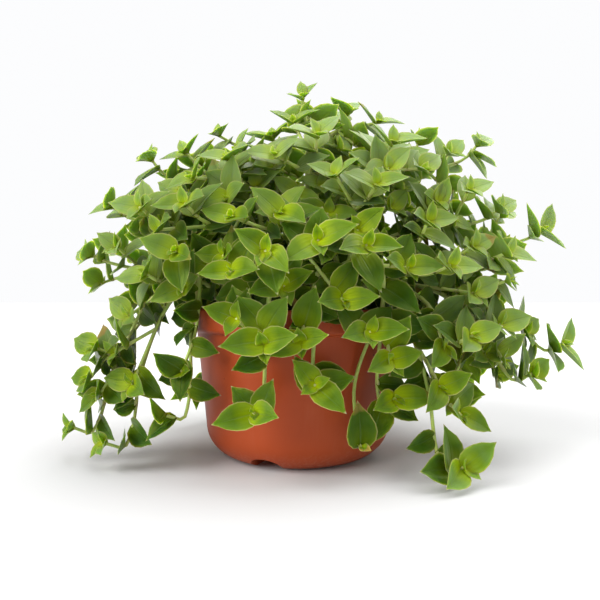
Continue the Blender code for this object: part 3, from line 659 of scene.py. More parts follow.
def leaf_finish(look):
    """Glossy, slightly fleshy leaf: soft ribs, a pale edge, a cream tip and a duller underside. Painted
    light pales leaves at the dome's top and sides, the pale patches are partly painted sheen, and the
    underside is partly a painted backlight glow.
    """
    made, board, shader = new_finish("turtle_vine_leaf")
    blade = board.attribute("blade", "Vector")
    across, along, below = [board.node("ShaderNodeSeparateXYZ", {}, {0: blade}, axis) for axis in "XYZ"]
    tone, youth, dry, sun = [board.attribute(name) for name in ("tone", "youth", "dry", "sun")]
    away = abs(across)
    blotches = board.noise(board.place(), 160.0, 3.0)
    bloom_and_sheen = board.clamped(blotches + away * 0.25 + along * 0.25, 0.45, 0.88)
    by_base = (1.0 - board.clamped(along, 0.10, 0.54)) * (1.0 - away * 0.35)
    midrib = 1.0 - board.clamped(away, 0.010, 0.085)
    ribs = (away * 24.0).sine()
    rib_share = board.clamped(ribs, 0.3, 1.0) * (1.0 - along)
    edge = board.clamped(away, 0.90, 0.985)
    tip = board.clamped(along, 0.925, 0.995)
    to_tip = along + blotches * 0.22 + edge * 0.10
    browned = board.clamped(to_tip, 1.06 - dry * 0.42, 1.12 - dry * 0.42)
    colour = board.layered(
        look.dark_colour,
        (tone, look.colour),
        (youth * 0.45, look.young_colour),
        # Painted light: leaves at the dome's top and sides, where light falls, are paled
        (sun * 0.75, look.sunny_colour),
        # Pale patches: partly the leaf's own pale bloom, partly painted sheen that is stronger on leaves
        # not darkened by painted shade
        (bloom_and_sheen * (0.08 + tone * 0.66), look.pale_colour),
        (by_base * (0.15 + youth * 0.85), look.heart_colour),
        (midrib * (1.0 - along) * 0.30, look.pale_colour),
        (rib_share * 0.10, look.dark_colour),
        (edge * (0.40 + youth * 0.30), look.edge_colour),
        (tip * 0.70, look.tip_colour),
        # Underside: partly the lower face's own paler green, partly a painted backlight glow
        (below * 0.75, look.underside_colour),
        (browned * dry, look.dry_colour),
    )
    uneven = board.clamped(blotches, 0.3, 0.8) * 0.10
    relief = ribs * 0.35 * (1.0 - along) - midrib * 1.6 + blotches * 1.1
    board.dress(shader, {
        "Base Color": colour,
        "Roughness": look.roughness + below * 0.16 + uneven + browned * dry * 0.3,
        "Normal": board.bump(relief, 0.35, 0.00022),
        "Specular IOR Level": 0.20,
        "Specular Tint": (0.86, 1.0, 0.06),
        "Subsurface Weight": look.translucence,
        "Subsurface Radius": (0.75, 1.0, 0.12),
        "Subsurface Scale": 0.0024,
    })
    return made


def stem_finish(look):
    """Fleshy pale stem, paler at its joints, a little brown where it is old."""
    made, board, shader = new_finish("turtle_vine_stem")
    streaks = board.noise(board.place(), 420.0, 3.0)
    colour = board.layered(
        look.old_stem_colour,
        (board.attribute("youth"), look.stem_colour),
        (board.clamped(streaks, 0.45, 0.80) * 0.15, look.dark_colour),
        (board.attribute("joint") * 0.55, look.edge_colour),
    )
    board.dress(shader, {
        "Base Color": colour,
        "Roughness": 0.42 + streaks * 0.15,
        "Normal": board.bump(streaks, 0.30, 0.0003),
        "Subsurface Weight": look.translucence,
        "Subsurface Radius": (0.55, 1.0, 0.18),
        "Subsurface Scale": 0.0012,
    })
    return made


def stage_finish(look):
    """Matt pale paper with a trace of grain."""
    made, board, shader = new_finish("stage_paper")
    grain = board.noise(board.place(), 30.0, 4.0)
    shade = tuple(part * PAPER_SHADE for part in look.floor_colour)
    colour = board.mix(grain, look.floor_colour, shade)
    board.dress(shader, {"Base Color": colour, "Roughness": 0.85, "Specular IOR Level": 0.15})
    return made


def linked(name, data, collection=None):
    """A new object in a collection, or else in the scene's own."""
    thing = bpy.data.objects.new(name, data)
    (collection or bpy.context.scene.collection).objects.link(thing)
    return thing


def remove_collection(holder):
    for thing in list(holder.objects):
        bpy.data.objects.remove(thing)
    bpy.data.collections.remove(holder)


def forms_of(name, meshes):
    """A collection of numbered objects, one for each mesh, that nodes pick from."""
    holder = bpy.data.collections.new(name)
    for index, mesh in enumerate(meshes):
        linked(f"{name}_{index:02d}", mesh, holder)
    return holder


def add_mesh(name, points, faces, collection=None):
    mesh = bpy.data.meshes.new(name)
    mesh.from_pydata([tuple(point) for point in points], [], faces)
    return linked(name, mesh, collection)


def outward(thing):
    """Turns the faces of a closed mesh outwards."""
    made = bmesh.new()
    made.from_mesh(thing.data)
    bmesh.ops.recalc_face_normals(made, faces=made.faces)
    made.to_mesh(thing.data)
    made.free()


def apply_boolean(thing, operation, other=None, others=None):
    """Joins or cuts, then removes what it was joined with or cut by."""
    boolean = thing.modifiers.new("boolean", "BOOLEAN")
    boolean.operation = operation
    boolean.solver = "EXACT"
    if others is None:
        boolean.object = other
    else:
        boolean.operand_type = "COLLECTION"
        boolean.collection = others
    with bpy.context.temp_override(object=thing, active_object=thing):
        bpy.ops.object.modifier_apply(modifier=boolean.name)
    if others is None:
        bpy.data.objects.remove(other)
    else:
        remove_collection(others)


def smooth(thing, degrees=40.0):
    thing.data.shade_smooth()
    thing.data.set_sharp_from_angle(angle=math.radians(degrees))


def polar(reach, angle):
    """Across and back, at a reach from the pot's axis and an angle around it."""
    return reach * math.cos(angle), reach * math.sin(angle)


def turned(profile, sides):
    """Points and faces of a solid turned around Z, from (radius, height) points that end on the axis."""
    points = [Vector((0.0, 0.0, profile[0][1])), Vector((0.0, 0.0, profile[-1][1]))]
    for radius, height in profile[1:-1]:
        for side in range(sides):
            angle = 2.0 * math.pi * side / sides
            points.append(Vector((*polar(radius, angle), height)))
    rings = len(profile) - 2
    faces = []
    for side in range(sides):
        onward = (side + 1) % sides
        faces.append((0, 2 + onward, 2 + side))
        for ring in range(rings - 1):
            low, high = 2 + ring * sides, 2 + (ring + 1) * sides
            faces.append((low + side, low + onward, high + onward, high + side))
        last = 2 + (rings - 1) * sides
        faces.append((last + side, last + onward, 1))
    return points, faces


def foot_arc(inset, steps=ROUNDING_STEPS):
    """The rounded foot of the pot, from its floor to its wall, moved in by the inset."""
    centre_radius = WALL_RADIUS_AT_FOOT - FOOT_ROUNDING
    radius = FOOT_ROUNDING - inset
    arc = []
    for step in range(steps + 1):
        angle = 0.5 * math.pi * step / steps
        arc.append((centre_radius + radius * math.sin(angle), FOOT_ROUNDING - radius * math.cos(angle)))
    return arc


def wall_radius(height):
    rise = (height - FOOT_ROUNDING) / (POT_HEIGHT - LIP_HEIGHT - FOOT_ROUNDING)
    return WALL_RADIUS_AT_FOOT + (WALL_RADIUS_AT_LIP - WALL_RADIUS_AT_FOOT) * rise


def rounded_corner(corner, from_way, to_way, steps, radius=LIP_ROUNDING):
    """Points of a quarter turn around a corner of the lip, between two ways given as (across, up)."""
    centre = (
        corner[0] + radius * (from_way[0] + to_way[0]),
        corner[1] + radius * (from_way[1] + to_way[1]),
    )
    arc = []
    for step in range(steps + 1):
        angle = 0.5 * math.pi * step / steps
        across = centre[0] - radius * (to_way[0] * math.cos(angle) + from_way[0] * math.sin(angle))
        up = centre[1] - radius * (to_way[1] * math.cos(angle) + from_way[1] * math.sin(angle))
        arc.append((across, up))
    return arc


def pot_profile(steps=ROUNDING_STEPS, corner_steps=1):
    """The pot's section from its foot's centre, up its outside, over its lip and down its inside."""
    lip_foot = POT_HEIGHT - LIP_HEIGHT
    outside = [(0.0, 0.0), *foot_arc(0.0, steps)]
    if corner_steps == 1:
        outside.append((WALL_RADIUS_AT_LIP, lip_foot))
        outside += rounded_corner((LIP_RADIUS, lip_foot), (-1.0, 0.0), (0.0, 1.0), corner_steps)
    else:
        hollow = (WALL_RADIUS_AT_LIP, lip_foot)
        outside += rounded_corner(hollow, (0.0, -1.0), (1.0, 0.0), corner_steps, LIP_HOLLOW)
        under = (LIP_RADIUS, lip_foot)
        outside += rounded_corner(under, (-1.0, 0.0), (0.0, 1.0), corner_steps, LIP_UNDER_ROUNDING)
    outside += rounded_corner((LIP_RADIUS, POT_HEIGHT), (0.0, -1.0), (-1.0, 0.0), corner_steps)
    inside = [(LIP_RADIUS - WALL_THICKNESS, POT_HEIGHT)]
    inside.append((LIP_RADIUS - WALL_THICKNESS - LIP_INSIDE_STEP, POT_HEIGHT - WALL_THICKNESS))
    inside.append((WALL_RADIUS_AT_LIP - WALL_THICKNESS, lip_foot - WALL_THICKNESS))
    inside.extend(reversed(foot_arc(FLOOR_THICKNESS, steps)))
    inside.append((0.0, FLOOR_THICKNESS))
    return outside + inside


def ring_faces(first, sides):
    """Faces between a ring of corners that starts at the first one and the next ring."""
    turns = [(first + side, first + (side + 1) % sides) for side in range(sides)]
    return [(side, onward, onward + sides, side + sides) for side, onward in turns]


def channel_points(width, height, start, end, turn, foot):
    """A half-round bar along a spoke of the pot, standing on the given height."""
    outline = []
    for side in range(FINE_CHANNEL_SIDES + 1):
        angle = math.pi * side / FINE_CHANNEL_SIDES
        outline.append((0.5 * width * math.cos(angle), height * math.sin(angle) ** CHANNEL_SQUARENESS))
    outline = [(0.5 * width, foot)] + outline[1:-1] + [(-0.5 * width, foot)]
    spin = Matrix.Rotation(turn, 3, "Z")
    points = [spin @ Vector((along, across, up)) for along in (start, end) for across, up in outline]
    count = len(outline)
    ends = [tuple(reversed(range(count))), tuple(range(count, 2 * count))]
    return points, ends + ring_faces(0, count)


def trim_to_shell(thing):
    """Cuts a channel's roof off at the pot's outside."""
    inset = 0.3 * FLOOR_THICKNESS
    top = 0.5 * POT_HEIGHT
    outside = [
        (0.0, inset),
        *foot_arc(inset, FINE_ROUNDING_STEPS),
        (WALL_RADIUS_AT_FOOT - inset, top),
        (0.0, top),
    ]
    shell = add_mesh("shell", *turned(outside, FINE_POT_SIDES))
    outward(shell)
    apply_boolean(thing, "INTERSECT", other=shell)


def add_channels(pot):
    """Cuts the drainage channels and their holes, each under a roof inside the pot."""
    roofs = bpy.data.collections.new("roofs")
    cuts = bpy.data.collections.new("cuts")
    for made in (roofs, cuts):
        bpy.context.scene.collection.children.link(made)
    roof_end = WALL_RADIUS_AT_FOOT - FOOT_ROUNDING * (1.0 - CHANNEL_END_IN_ROUNDING)
    for channel in range(CHANNELS):
        turn = CHANNEL_FIRST_ANGLE + 2.0 * math.pi * channel / CHANNELS
        roof = channel_points(
            CHANNEL_WIDTH + 2.0 * FLOOR_THICKNESS,
            CHANNEL_HEIGHT + FLOOR_THICKNESS,
            CHANNEL_START - FLOOR_THICKNESS,
            roof_end,
            turn,
            0.5 * FLOOR_THICKNESS,
        )
        roof = add_mesh("roof", *roof, roofs)
        outward(roof)
        trim_to_shell(roof)
        cut = channel_points(
            CHANNEL_WIDTH, CHANNEL_HEIGHT, CHANNEL_START, LIP_RADIUS, turn, -FLOOR_THICKNESS
        )
        outward(add_mesh("cut", *cut, cuts))
        reach = 2.0 * CHANNEL_HEIGHT
        drain = [(0.0, -reach), (DRAIN_RADIUS, -reach), (DRAIN_RADIUS, reach), (0.0, reach)]
        points, faces = turned(drain, FINE_DRAIN_SIDES)
        centre = Vector((*polar(DRAIN_CENTRE, turn), CHANNEL_HEIGHT))
        outward(add_mesh("drain", [point + centre for point in points], faces, cuts))
    apply_boolean(pot, "UNION", others=roofs)
    apply_boolean(pot, "DIFFERENCE", others=cuts)


def soil_height(x, y):
    """Height of the soil's surface: a low mound with lumps."""
    share = (x * x + y * y) / (WALL_RADIUS_AT_LIP * WALL_RADIUS_AT_LIP)
    mound = SOIL_EDGE + (SOIL_CROWN - SOIL_EDGE) * max(0.0, 1.0 - share)
    lumps = math.sin(SOIL_LUMPS_ACROSS * x + 1.3) * math.sin(SOIL_LUMPS_ACROSS * y + 0.4)
    return mound + SOIL_LUMP * lumps


def crumbled_height(x, y, edge_share):
    """The same surface with clods and grit, which fade out where it meets the pot."""
    fade = min(1.0, 6.0 * (1.0 - edge_share))
    clods = noise.noise(Vector((x, y, 0.0)) * CLODS_ACROSS)
    grit = noise.noise(Vector((x, y, 0.3)) * GRIT_ACROSS)
    return soil_height(x, y) + fade * (CLOD_HEIGHT * clods + GRIT_HEIGHT * grit)


def soil_shape():
    """The soil's solid, as turned rings with a fine crumbled top."""
    floor = CHANNEL_HEIGHT + FLOOR_THICKNESS + GAP
    foot = [corner for corner in foot_arc(FLOOR_THICKNESS + GAP, FINE_ROUNDING_STEPS) if corner[1] > floor]
    edge = wall_radius(SOIL_EDGE) - WALL_THICKNESS - 2.0 * GAP
    profile = [(0.0, floor), (foot[0][0] - (foot[0][1] - floor), floor), *foot]
    for ring in range(FINE_SOIL_RINGS):
        profile.append((edge * (1.0 - ring / FINE_SOIL_RINGS), SOIL_EDGE))
    profile.append((0.0, SOIL_EDGE))
    points, faces = turned(profile, FINE_SOIL_SIDES)
    for point in points:
        if point.z >= SOIL_EDGE:
            share = math.hypot(point.x, point.y) / edge
            point.z = crumbled_height(point.x, point.y, share)
    return points, faces


@dataclass
class Leaf:
    """One leaf: its frame at the stem, its length and form, how young and dry it is, and how much painted
    light it gets.
    """

    place: Matrix
    length: float
    form: int
    youth: float
    tone: float
    dry: float = 0.0
    sun: float = 0.0


@dataclass
class Shoot:
    """A stem with the way its tip faces and the leaves that it carries."""

    path: list
    radii: list
    heading: Vector
    leaf_plan: tuple
    fine: list = field(default_factory=list)
    fine_radii: list = field(default_factory=list)
    joints: list = field(default_factory=list)
    turn: float = 0.0


@dataclass
class Vine:
    """A root with its shoots, its leaves, their outlines, and the surface that others keep clear of."""

    shoots: list
    outlines: list
    leaves: list = field(default_factory=list)
    surface: object = None
    box: tuple = None


def tube(path, radii, sides, extra=0.0):
    """Points and faces of a closed tube along a path."""
    points = []
    side_way = None
    for index, centre in enumerate(path):
        ahead = path[min(index + 1, len(path) - 1)]
        behind = path[max(index - 1, 0)]
        along = (ahead - behind).normalized()
        if side_way is None:
            side_way = along.orthogonal().normalized()
        side_way = (side_way - along * side_way.dot(along)).normalized()
        other_way = along.cross(side_way)
        radius = radii[index] + extra
        for side in range(sides):
            angle = 2.0 * math.pi * (side + 0.5) / sides
            offset = side_way * math.cos(angle) + other_way * math.sin(angle)
            points.append(centre + offset * radius)
    faces = [tuple(reversed(range(sides)))]
    last = (len(path) - 1) * sides
    for first in range(0, last, sides):
        faces += ring_faces(first, sides)
    faces.append(tuple(last + side for side in range(sides)))
    return points, faces


def half_width(share):
    """Half the blade's width at a share of its length, both as shares of that length."""
    widest = WIDEST_POWER / (WIDEST_POWER + TIP_POWER)
    top = widest**WIDEST_POWER * (1.0 - widest) ** TIP_POWER
    return 0.5 * LEAF_WIDTH * share**WIDEST_POWER * (1.0 - share) ** TIP_POWER / top


def plain_blade(length, form, thickness):
    """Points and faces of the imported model's leaf, which growing leaves keep clear of each other by."""
    fold, arch = LEAF_FORMS[form]
    upper = ((0.0, 0.0), (1.0, SHOULDER), (1.0, WAIST), (-1.0, WAIST), (-1.0, SHOULDER))
    lower = ((0.0, 0.0), (1.0, BELLY), (-1.0, BELLY))
    points = []
    for outline, lift in ((upper, 0.5 * thickness), (lower, -0.5 * thickness)):
        for side, along in outline:
            across = side * half_width(along)
            height = fold * abs(across) + arch * (0.5 * along - along * along)
            points.append(Vector((across * length, along * length, height * length + lift)))
    points.append(Vector((0.0, length, -0.5 * arch * length)))
    # Corners: 0 base, 1 and 4 shoulders, 2 and 3 waist, 5 under the base, 6 and 7 belly, 8 tip
    faces = [(0, 1, 8), (1, 2, 8), (0, 8, 4), (4, 8, 3)]
    faces += [(5, 8, 6), (5, 7, 8), (0, 5, 6), (0, 6, 1), (1, 6, 2)]
    faces += [(2, 6, 8), (0, 7, 5), (0, 4, 7), (4, 3, 7), (3, 8, 7)]
    return points, faces


def placed(points, place):
    return [place @ point for point in points]


def without_base(points, faces, place):
    """The upper face of a placed blade from its shoulders on, where it stands clear of its stem."""
    from_shoulders = [points[0].lerp(points[-1], SHOULDER), *points[1:]]
    return placed(from_shoulders, place), faces[:UPPER_FACES]


def box_of(points):
    low = Vector([min(point[axis] for point in points) for axis in range(3)])
    high = Vector([max(point[axis] for point in points) for axis in range(3)])
    return low, high


def boxes_meet(first, second):
    return all(first[0][axis] <= second[1][axis] and second[0][axis] <= first[1][axis] for axis in range(3))


def surface_of(parts):
    """One search tree over several (points, faces), and its box."""
    points, faces = [], []
    for part_points, part_faces in parts:
        first = len(points)
        points.extend(part_points)
        faces.extend(tuple(first + corner for corner in face) for face in part_faces)
    return BVHTree.FromPolygons(points, faces), box_of(points)


def is_clear(points, faces, others):
    """Whether a mesh crosses none of the (surface, box) pairs."""
    box = box_of(points)
    near = [surface for surface, other_box in others if boxes_meet(box, other_box)]
    if not near:
        return True
    own = BVHTree.FromPolygons(points, faces)
    return not any(own.overlap(surface) for surface in near)


def tip_heading(tip):
    """The way a shoot's tip faces: out of the dome, turned towards the light."""
    out = tip - HEADING_CENTRE * UP
    out.z *= HEADING_DROP if out.z < 0.0 else 1.0
    return (out.normalized() + HEADING_LIFT * UP).normalized()


def facing(number, tip):
    """The way a rosette faces: as its stem's tip does, and on the vines in front also to the front."""
    pull = FRONT_PULL if number < len(SEEN_VINES) else 0.0
    return (tip_heading(tip) + pull * FRONT).normalized()


def pick_root(tip, taken):
    """A free place in the soil on the tip's side: near the middle for high tips, the rim for low ones."""
    steep = min(1.0, max(0.0, (tip.z - LOW_TIP) / (HIGH_TIP - LOW_TIP)))
    reach = ROOT_REACH * (1.0 - ROOT_PULL_IN * steep)
    angle = math.atan2(tip.y, tip.x)
    for step in range(ROOT_SEARCH):
        turn = step * 2.0 * math.pi * GOLDEN
        away = ROOT_SEARCH_STEP * math.sqrt(step)
        x = reach * math.cos(angle) + away * math.cos(turn)
        y = reach * math.sin(angle) + away * math.sin(turn)
        if math.hypot(x, y) > ROOT_LIMIT:
            continue
        if all(math.hypot(x - root.x, y - root.y) >= ROOT_SPACING for root in taken):
            return Vector((x, y, soil_height(x, y)))
    raise ValueError("no free place for a root")


def smooth_path(start, start_way, end, end_way, steps):
    return geometry.interpolate_bezier(start, start + start_way, end - end_way, end, steps)


def main_route(root, tip, crest_more, nudge):
    """A stem from the bottom of its hole, up out of the soil and over to its tip."""
    hook = tip - HOOK * tip_heading(tip)
    rise = hook.z - root.z
    out = Vector((hook.x - root.x, hook.y - root.y, 0.0))
    crest = max(POT_HEIGHT + CREST_ABOVE_RIM, hook.z) + crest_more
    fall = max(0.0, crest - hook.z)
    start_way = UP * (CLIMB * (crest - root.z)) + START_LEAN * out + nudge
    end_way = tip_heading(tip) * (END_REACH * out.length) - UP * (END_FALL * fall) - END_NUDGE * nudge
    length = out.length + abs(rise) + fall
    steps = max(MAIN_STEPS, round(length / STEM_STEP))
    above = Vector((root.x, root.y, root.z + ABOVE_SOIL))
    return [*smooth_path(above, start_way, hook, end_way, steps), tip]


def in_its_hole(path):
    """The path with the stretch that stands in the soil put before it."""
    foot = path[0]
    return [foot - (ABOVE_SOIL + HOLE_DEPTH - GAP) * UP, *path]


def tapered(path, foot_radius, tip_radius):
    last = len(path) - 1
    return [foot_radius + (tip_radius - foot_radius) * index / last for index in range(last + 1)]


def foot_index(path, tip):
    """Which point of a main stem a side shoot leaves: the one before the nearest to the shoot's tip."""
    nearest = min(range(LOWEST_FOOT, len(path) - 1), key=lambda index: (path[index] - tip).length)
    return max(LOWEST_FOOT, nearest - 1)


def side_route(main_path, tip, nudge):
    """A side shoot that leaves the main stem below its tip and bends to its own."""
    start = foot_index(main_path, tip)
    foot = main_path[start]
    along = (main_path[start + 1] - main_path[start - 1]).normalized()
    gap = (tip - foot).length
    start_way = along * (SIDE_START * gap) + nudge
    end_way = tip_heading(tip) * (SIDE_BEND * gap) - nudge
    steps = max(SIDE_STEPS, round(gap / STEM_STEP) + 1)
    return smooth_path(foot, start_way, tip, end_way, steps)


def back_tips():
    """Tips of the vines at the back, each with a side shoot above it, and some with one below."""
    draw = random.Random(SEED)
    tips = []
    for index in range(BACK_VINES):
        reach, height, spread = BACK_LEVELS[index % len(BACK_LEVELS)]
        middle = BACK_FROM + 0.5 * BACK_SPAN
        angle = middle + spread * BACK_SPAN * ((index + 0.5) * GOLDEN % 1.0 - 0.5)
        reach += draw.uniform(-BACK_JITTER, BACK_JITTER)
        height += draw.uniform(-BACK_JITTER, BACK_JITTER)
        turn = BACK_SIDE_TURN * draw.choice((-1.0, 1.0))
        own = [(*polar(reach, angle), height)]
        sides = ((turn, BACK_SIDE_RISE), (-turn, -BACK_SIDE_FALL))
        for side_turn, rise in sides[: 1 + index % 2]:
            own.append((*polar(reach - BACK_SIDE_PULL_IN, angle + side_turn), height + rise))
        tips.append(own)
    return tips


def wander(draw, reach):
    return Vector([draw.uniform(-reach, reach) for _ in range(3)])


def first_clear(draw, route, foot_radius, others, tries=STEM_TRIES):
    """The first try at a stem, as (path, radii), that crosses none of the others, or None."""
    for attempt in range(tries):
        nudge = wander(draw, STEM_NUDGE * min(attempt + LEAST_NUDGE, WIDEST_NUDGE))
        path = route(nudge, RIM_CLIMB * (attempt % CLIMB_STEPS))
        radii = tapered(path, foot_radius, TIP_RADIUS)
        if is_clear(*tube(path, radii, STEM_SIDES, BEND_CLEAR), others):
            return path, radii
    return None


def grow_stems(fixed):
    """All vines with their stems, each bent clear of the ones before it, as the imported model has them."""
    vines, roots = [], []
    for number, tips in enumerate((*SEEN_VINES, *back_tips())):
        draw = random.Random(SEED + SEED_STEP * number)
        main_tip, *side_tips = [Vector(tip) for tip in tips]
        root = pick_root(main_tip, roots)
        roots.append(root)
        others = surfaces_around(None, vines, fixed)
        found = first_clear(
            draw, lambda nudge, climb: main_route(root, main_tip, climb, nudge), ROOT_RADIUS, others
        )
        if found is None:
            raise RuntimeError(f"vine {number + 1} finds no clear way")
        path, radii = found
        shoots = [Shoot(in_its_hole(path), [radii[0], *radii], facing(number, main_tip), MAIN_LEAVES)]
        for tip in side_tips:
            found = first_clear(
                draw, lambda nudge, climb: side_route(path, tip, nudge), SIDE_RADIUS, others
            )
            if found is not None:
                shoots.append(Shoot(*found, facing(number, tip), SIDE_LEAVES))
        vine = Vine(shoots, [])
        vine.surface, vine.box = surface_of([tube(each.path, each.radii, STEM_SIDES) for each in shoots])
        vines.append(vine)
    return vines


def point_back_from_tip(path, radii, distance):
    """The point, the stem's direction and its radius at a distance back along a path from its tip."""
    for index in range(len(path) - 1, 0, -1):
        step = path[index] - path[index - 1]
        if distance <= step.length:
            share = distance / step.length
            radius = radii[index] * (1.0 - share) + radii[index - 1] * share
            return path[index] - step * share, step.normalized(), radius
        distance -= step.length
    return path[0], (path[1] - path[0]).normalized(), radii[0]


def leaf_frame(stem, heading, distance, turn, opening, light_pull=LIGHT_PULL, lean=LIGHT_LEAN):
    """Frame of a leaf: its base on the stem, +Y along its midrib, +Z out of its upper face."""
    base, along, radius = stem
    hold = HEADING_HOLD * max(0.0, 1.0 - distance / HEADING_FADE)
    axis = (along * (1.0 - hold) + heading * hold).normalized()
    level = UP.cross(axis)
    level = level.normalized() if level.length > UPRIGHT else Vector((1.0, 0.0, 0.0))
    level = (level - axis * level.dot(axis)).normalized()
    rising = axis.cross(level)
    around = level * math.cos(turn) + rising * math.sin(turn)
    base = base + around * (BASE_SUNK * radius)
    way = axis * math.cos(opening) + around * math.sin(opening)
    if distance > DROOP_START:
        way = way - UP * DROOP
    way.normalize()
    light = (UP + lean * Vector((heading.x, heading.y, 0.0))).normalized()
    face = (1.0 - light_pull) * (axis - way * axis.dot(way)) + light_pull * (light - way * light.dot(way))
    face.normalize()
    across = way.cross(face)
    place = Matrix((across, way, face)).transposed().to_4x4()
    place.translation = base
    return place


def pair_turn(index, fan):
    """How far a leaf is turned round its stem: opposite leaves in pairs, each fanned up or down."""
    turn = fan * PAIR_FANS[index // 2 % len(PAIR_FANS)]
    return math.pi - turn if index % 2 else turn


def surfaces_around(vine, vines, fixed):
    """What a vine keeps clear of: the pot, the soil and the other vines."""
    return fixed + [(other.surface, other.box) for other in vines if other is not vine]


def above_floor(points):
    return min(point.z for point in points) >= FLOOR_CLEAR


def keep_outline(vine, own, place, length, form):
    """Keeps the outline of a leaf, for later leaves to stay clear of."""
    points, faces = plain_blade(length, form, LEAF_THICKNESS)
    vine.outlines.append((placed(points, place), faces))
    own.append(surface_of([vine.outlines[-1]]))


def fitting_frame(fits, stem, shoot, distance, turn, opening, length, *light):
    """The frame and length of the first try at a leaf that fits, or None."""
    for more_turn, more_opening, size in LEAF_TRIES:
        turned_more = turn + math.radians(more_turn)
        opened_more = opening + math.radians(more_opening)
        place = leaf_frame(stem, shoot.heading, distance, turned_more, opened_more, *light)
        if fits(place, length * size):
            return place, length * size
    return None


def grow_leaves(vine, number, vines, fixed):
    """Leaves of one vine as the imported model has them, each clear of the other vines or left out."""
    draw = random.Random(SEED + SEED_STEP * number + LEAF_SEED)
    looks = random.Random(SEED_STEP * number)
    others = surfaces_around(vine, vines, fixed)
    stems = [surface_of([tube(shoot.path, shoot.radii, STEM_SIDES) for shoot in vine.shoots])]
    own = []

    def fits(place, length):
        roomy = plain_blade(length + 2.0 * BEND_CLEAR, form, LEAF_THICKNESS + 2.0 * BEND_CLEAR)
        whole = (placed(roomy[0], place), roomy[1])
        if not above_floor(whole[0]):
            return False
        pieces = ((*whole, others), (*whole, own), (*without_base(*roomy, place), stems))
        return all(is_clear(*piece) for piece in pieces)

    for shoot_number, shoot in enumerate(vine.shoots):
        key = (number, shoot_number)
        first_turn, fan = draw.uniform(-FIRST_TURN, FIRST_TURN), draw.choice(FANS_UP)
        if key in SEEN_TURNS:
            first_turn, fan = math.radians(SEEN_TURNS[key]), 1.0
            shoot.leaf_plan = SEEN_LEAVES.get(key, MAIN_LEAVES)
        shoot.turn = first_turn
        for index, (distance, length, opening) in enumerate(shoot.leaf_plan):
            turn = first_turn + pair_turn(index, fan) + draw.uniform(-TURN_JITTER, TURN_JITTER)
            opening = math.radians(opening) + draw.uniform(-OPENING_JITTER, OPENING_JITTER)
            length *= 1.0 + draw.uniform(-LEAF_JITTER, LEAF_JITTER)
            form = draw.randrange(len(LEAF_FORMS))
            stem = point_back_from_tip(shoot.path, shoot.radii, distance)
            found = fitting_frame(fits, stem, shoot, distance, turn, opening, length)
            if found is None:
                continue
            place, length = found
            keep_outline(vine, own, place, length, form)
            fine = point_back_from_tip(shoot.fine, shoot.fine_radii, distance)
            place.translation += fine[0] - stem[0]
            shoot.joints.append(distance)
            leaf = Leaf(place, length, form, youth_at(distance, looks), looks.random(), dryness(looks))
            if key in OLD_ROSETTES:
                leaf.youth, leaf.tone, leaf.dry = 0.0, 0.0, OLD_ROSETTES[key]
            vine.leaves.append(leaf)
    refresh(vine)


def refresh(vine):
    stems = [tube(shoot.path, shoot.radii, STEM_SIDES) for shoot in vine.shoots]
    vine.surface, vine.box = surface_of([*stems, *vine.outlines])


def dryness(looks):
    """How far a leaf has dried from its tip: not at all for most."""
    return looks.uniform(*DRY_AMOUNT) if looks.random() < DRY_SHARE else 0.0


def youth_at(distance, looks):
    """How young a leaf is by its distance from the tip, from 1 down to 0."""
    return max(0.0, 1.0 - distance / YOUNG_WITHIN) ** YOUTH_POWER * looks.uniform(*YOUTH_JITTER)


def fine_path(path, radii):
    """The same stem as a smooth curve through its points, in short even steps."""
    points, widths = [path[0]], [radii[0]]
    for index in range(len(path) - 1):
        before = path[max(index - 1, 0)]
        here, there = path[index], path[index + 1]
        after = path[min(index + 2, len(path) - 1)]
        length = (there - here).length
        steps = max(2, round(length / FINE_STEM_STEP))
        start_way = (there - before).normalized() * length / 3.0
        end_way = (after - here).normalized() * length / 3.0
        for step, point in enumerate(smooth_path(here, start_way, there, end_way, steps + 1)[1:]):
            share = (step + 1) / steps
            points.append(point)
            widths.append(radii[index] * (1.0 - share) + radii[index + 1] * share)
    return points, widths


def path_length(path):
    return sum((second - first).length for first, second in zip(path, path[1:]))


def dome_reach(direction, tips):
    """How far the dome reaches from its centre in a direction, from the tips around that direction."""
    total = weight_sum = 0.0
    for tip in tips:
        away = tip - FILL_CENTRE
        angle = direction.angle(away)
        weight = math.exp(-((angle / FILL_BLEND) ** 2)) + 1e-9
        total += weight * away.length
        weight_sum += weight
    return total / weight_sum


def in_bare_ring(point):
    return math.hypot(point.x, point.y) < BARE_RING and point.z < BARE_RING_TOP


def fill_tips(tips):
    """Tips of the shoots that thicken the dome, spread evenly over it and kept off the pot's front."""
    draw = random.Random(FILL_SEED)
    taken = list(tips)
    chosen = [Vector(tip) for tip in MORE_SEEN_TIPS]
    taken += chosen
    for index in range(FILL_DIRECTIONS):
        rise = FILL_LOWEST + (1.0 - FILL_LOWEST) * (index + 0.5) / FILL_DIRECTIONS
        turn = 2.0 * math.pi * index * GOLDEN
        level = math.sqrt(1.0 - rise * rise)
        direction = Vector((*polar(level, turn), rise))
        tip = FILL_CENTRE + direction * dome_reach(direction, tips) * draw.uniform(*FILL_REACH)
        in_front = tip.y < BARE_FRONT_BACK and abs(tip.x) < BARE_FRONT_HALF_WIDTH
        if (in_front and tip.z < BARE_FRONT_TOP) or tip.z < FILL_LOWEST_TIP:
            continue
        if in_bare_ring(tip):
            continue
        if rise < FILL_THIN_BELOW and draw.random() < FILL_THIN_SHARE:
            continue
        if min((tip - other).length for other in taken) < FILL_SPACING:
            continue
        taken.append(tip)
        chosen.append(tip)
    draw.shuffle(chosen)
    return chosen


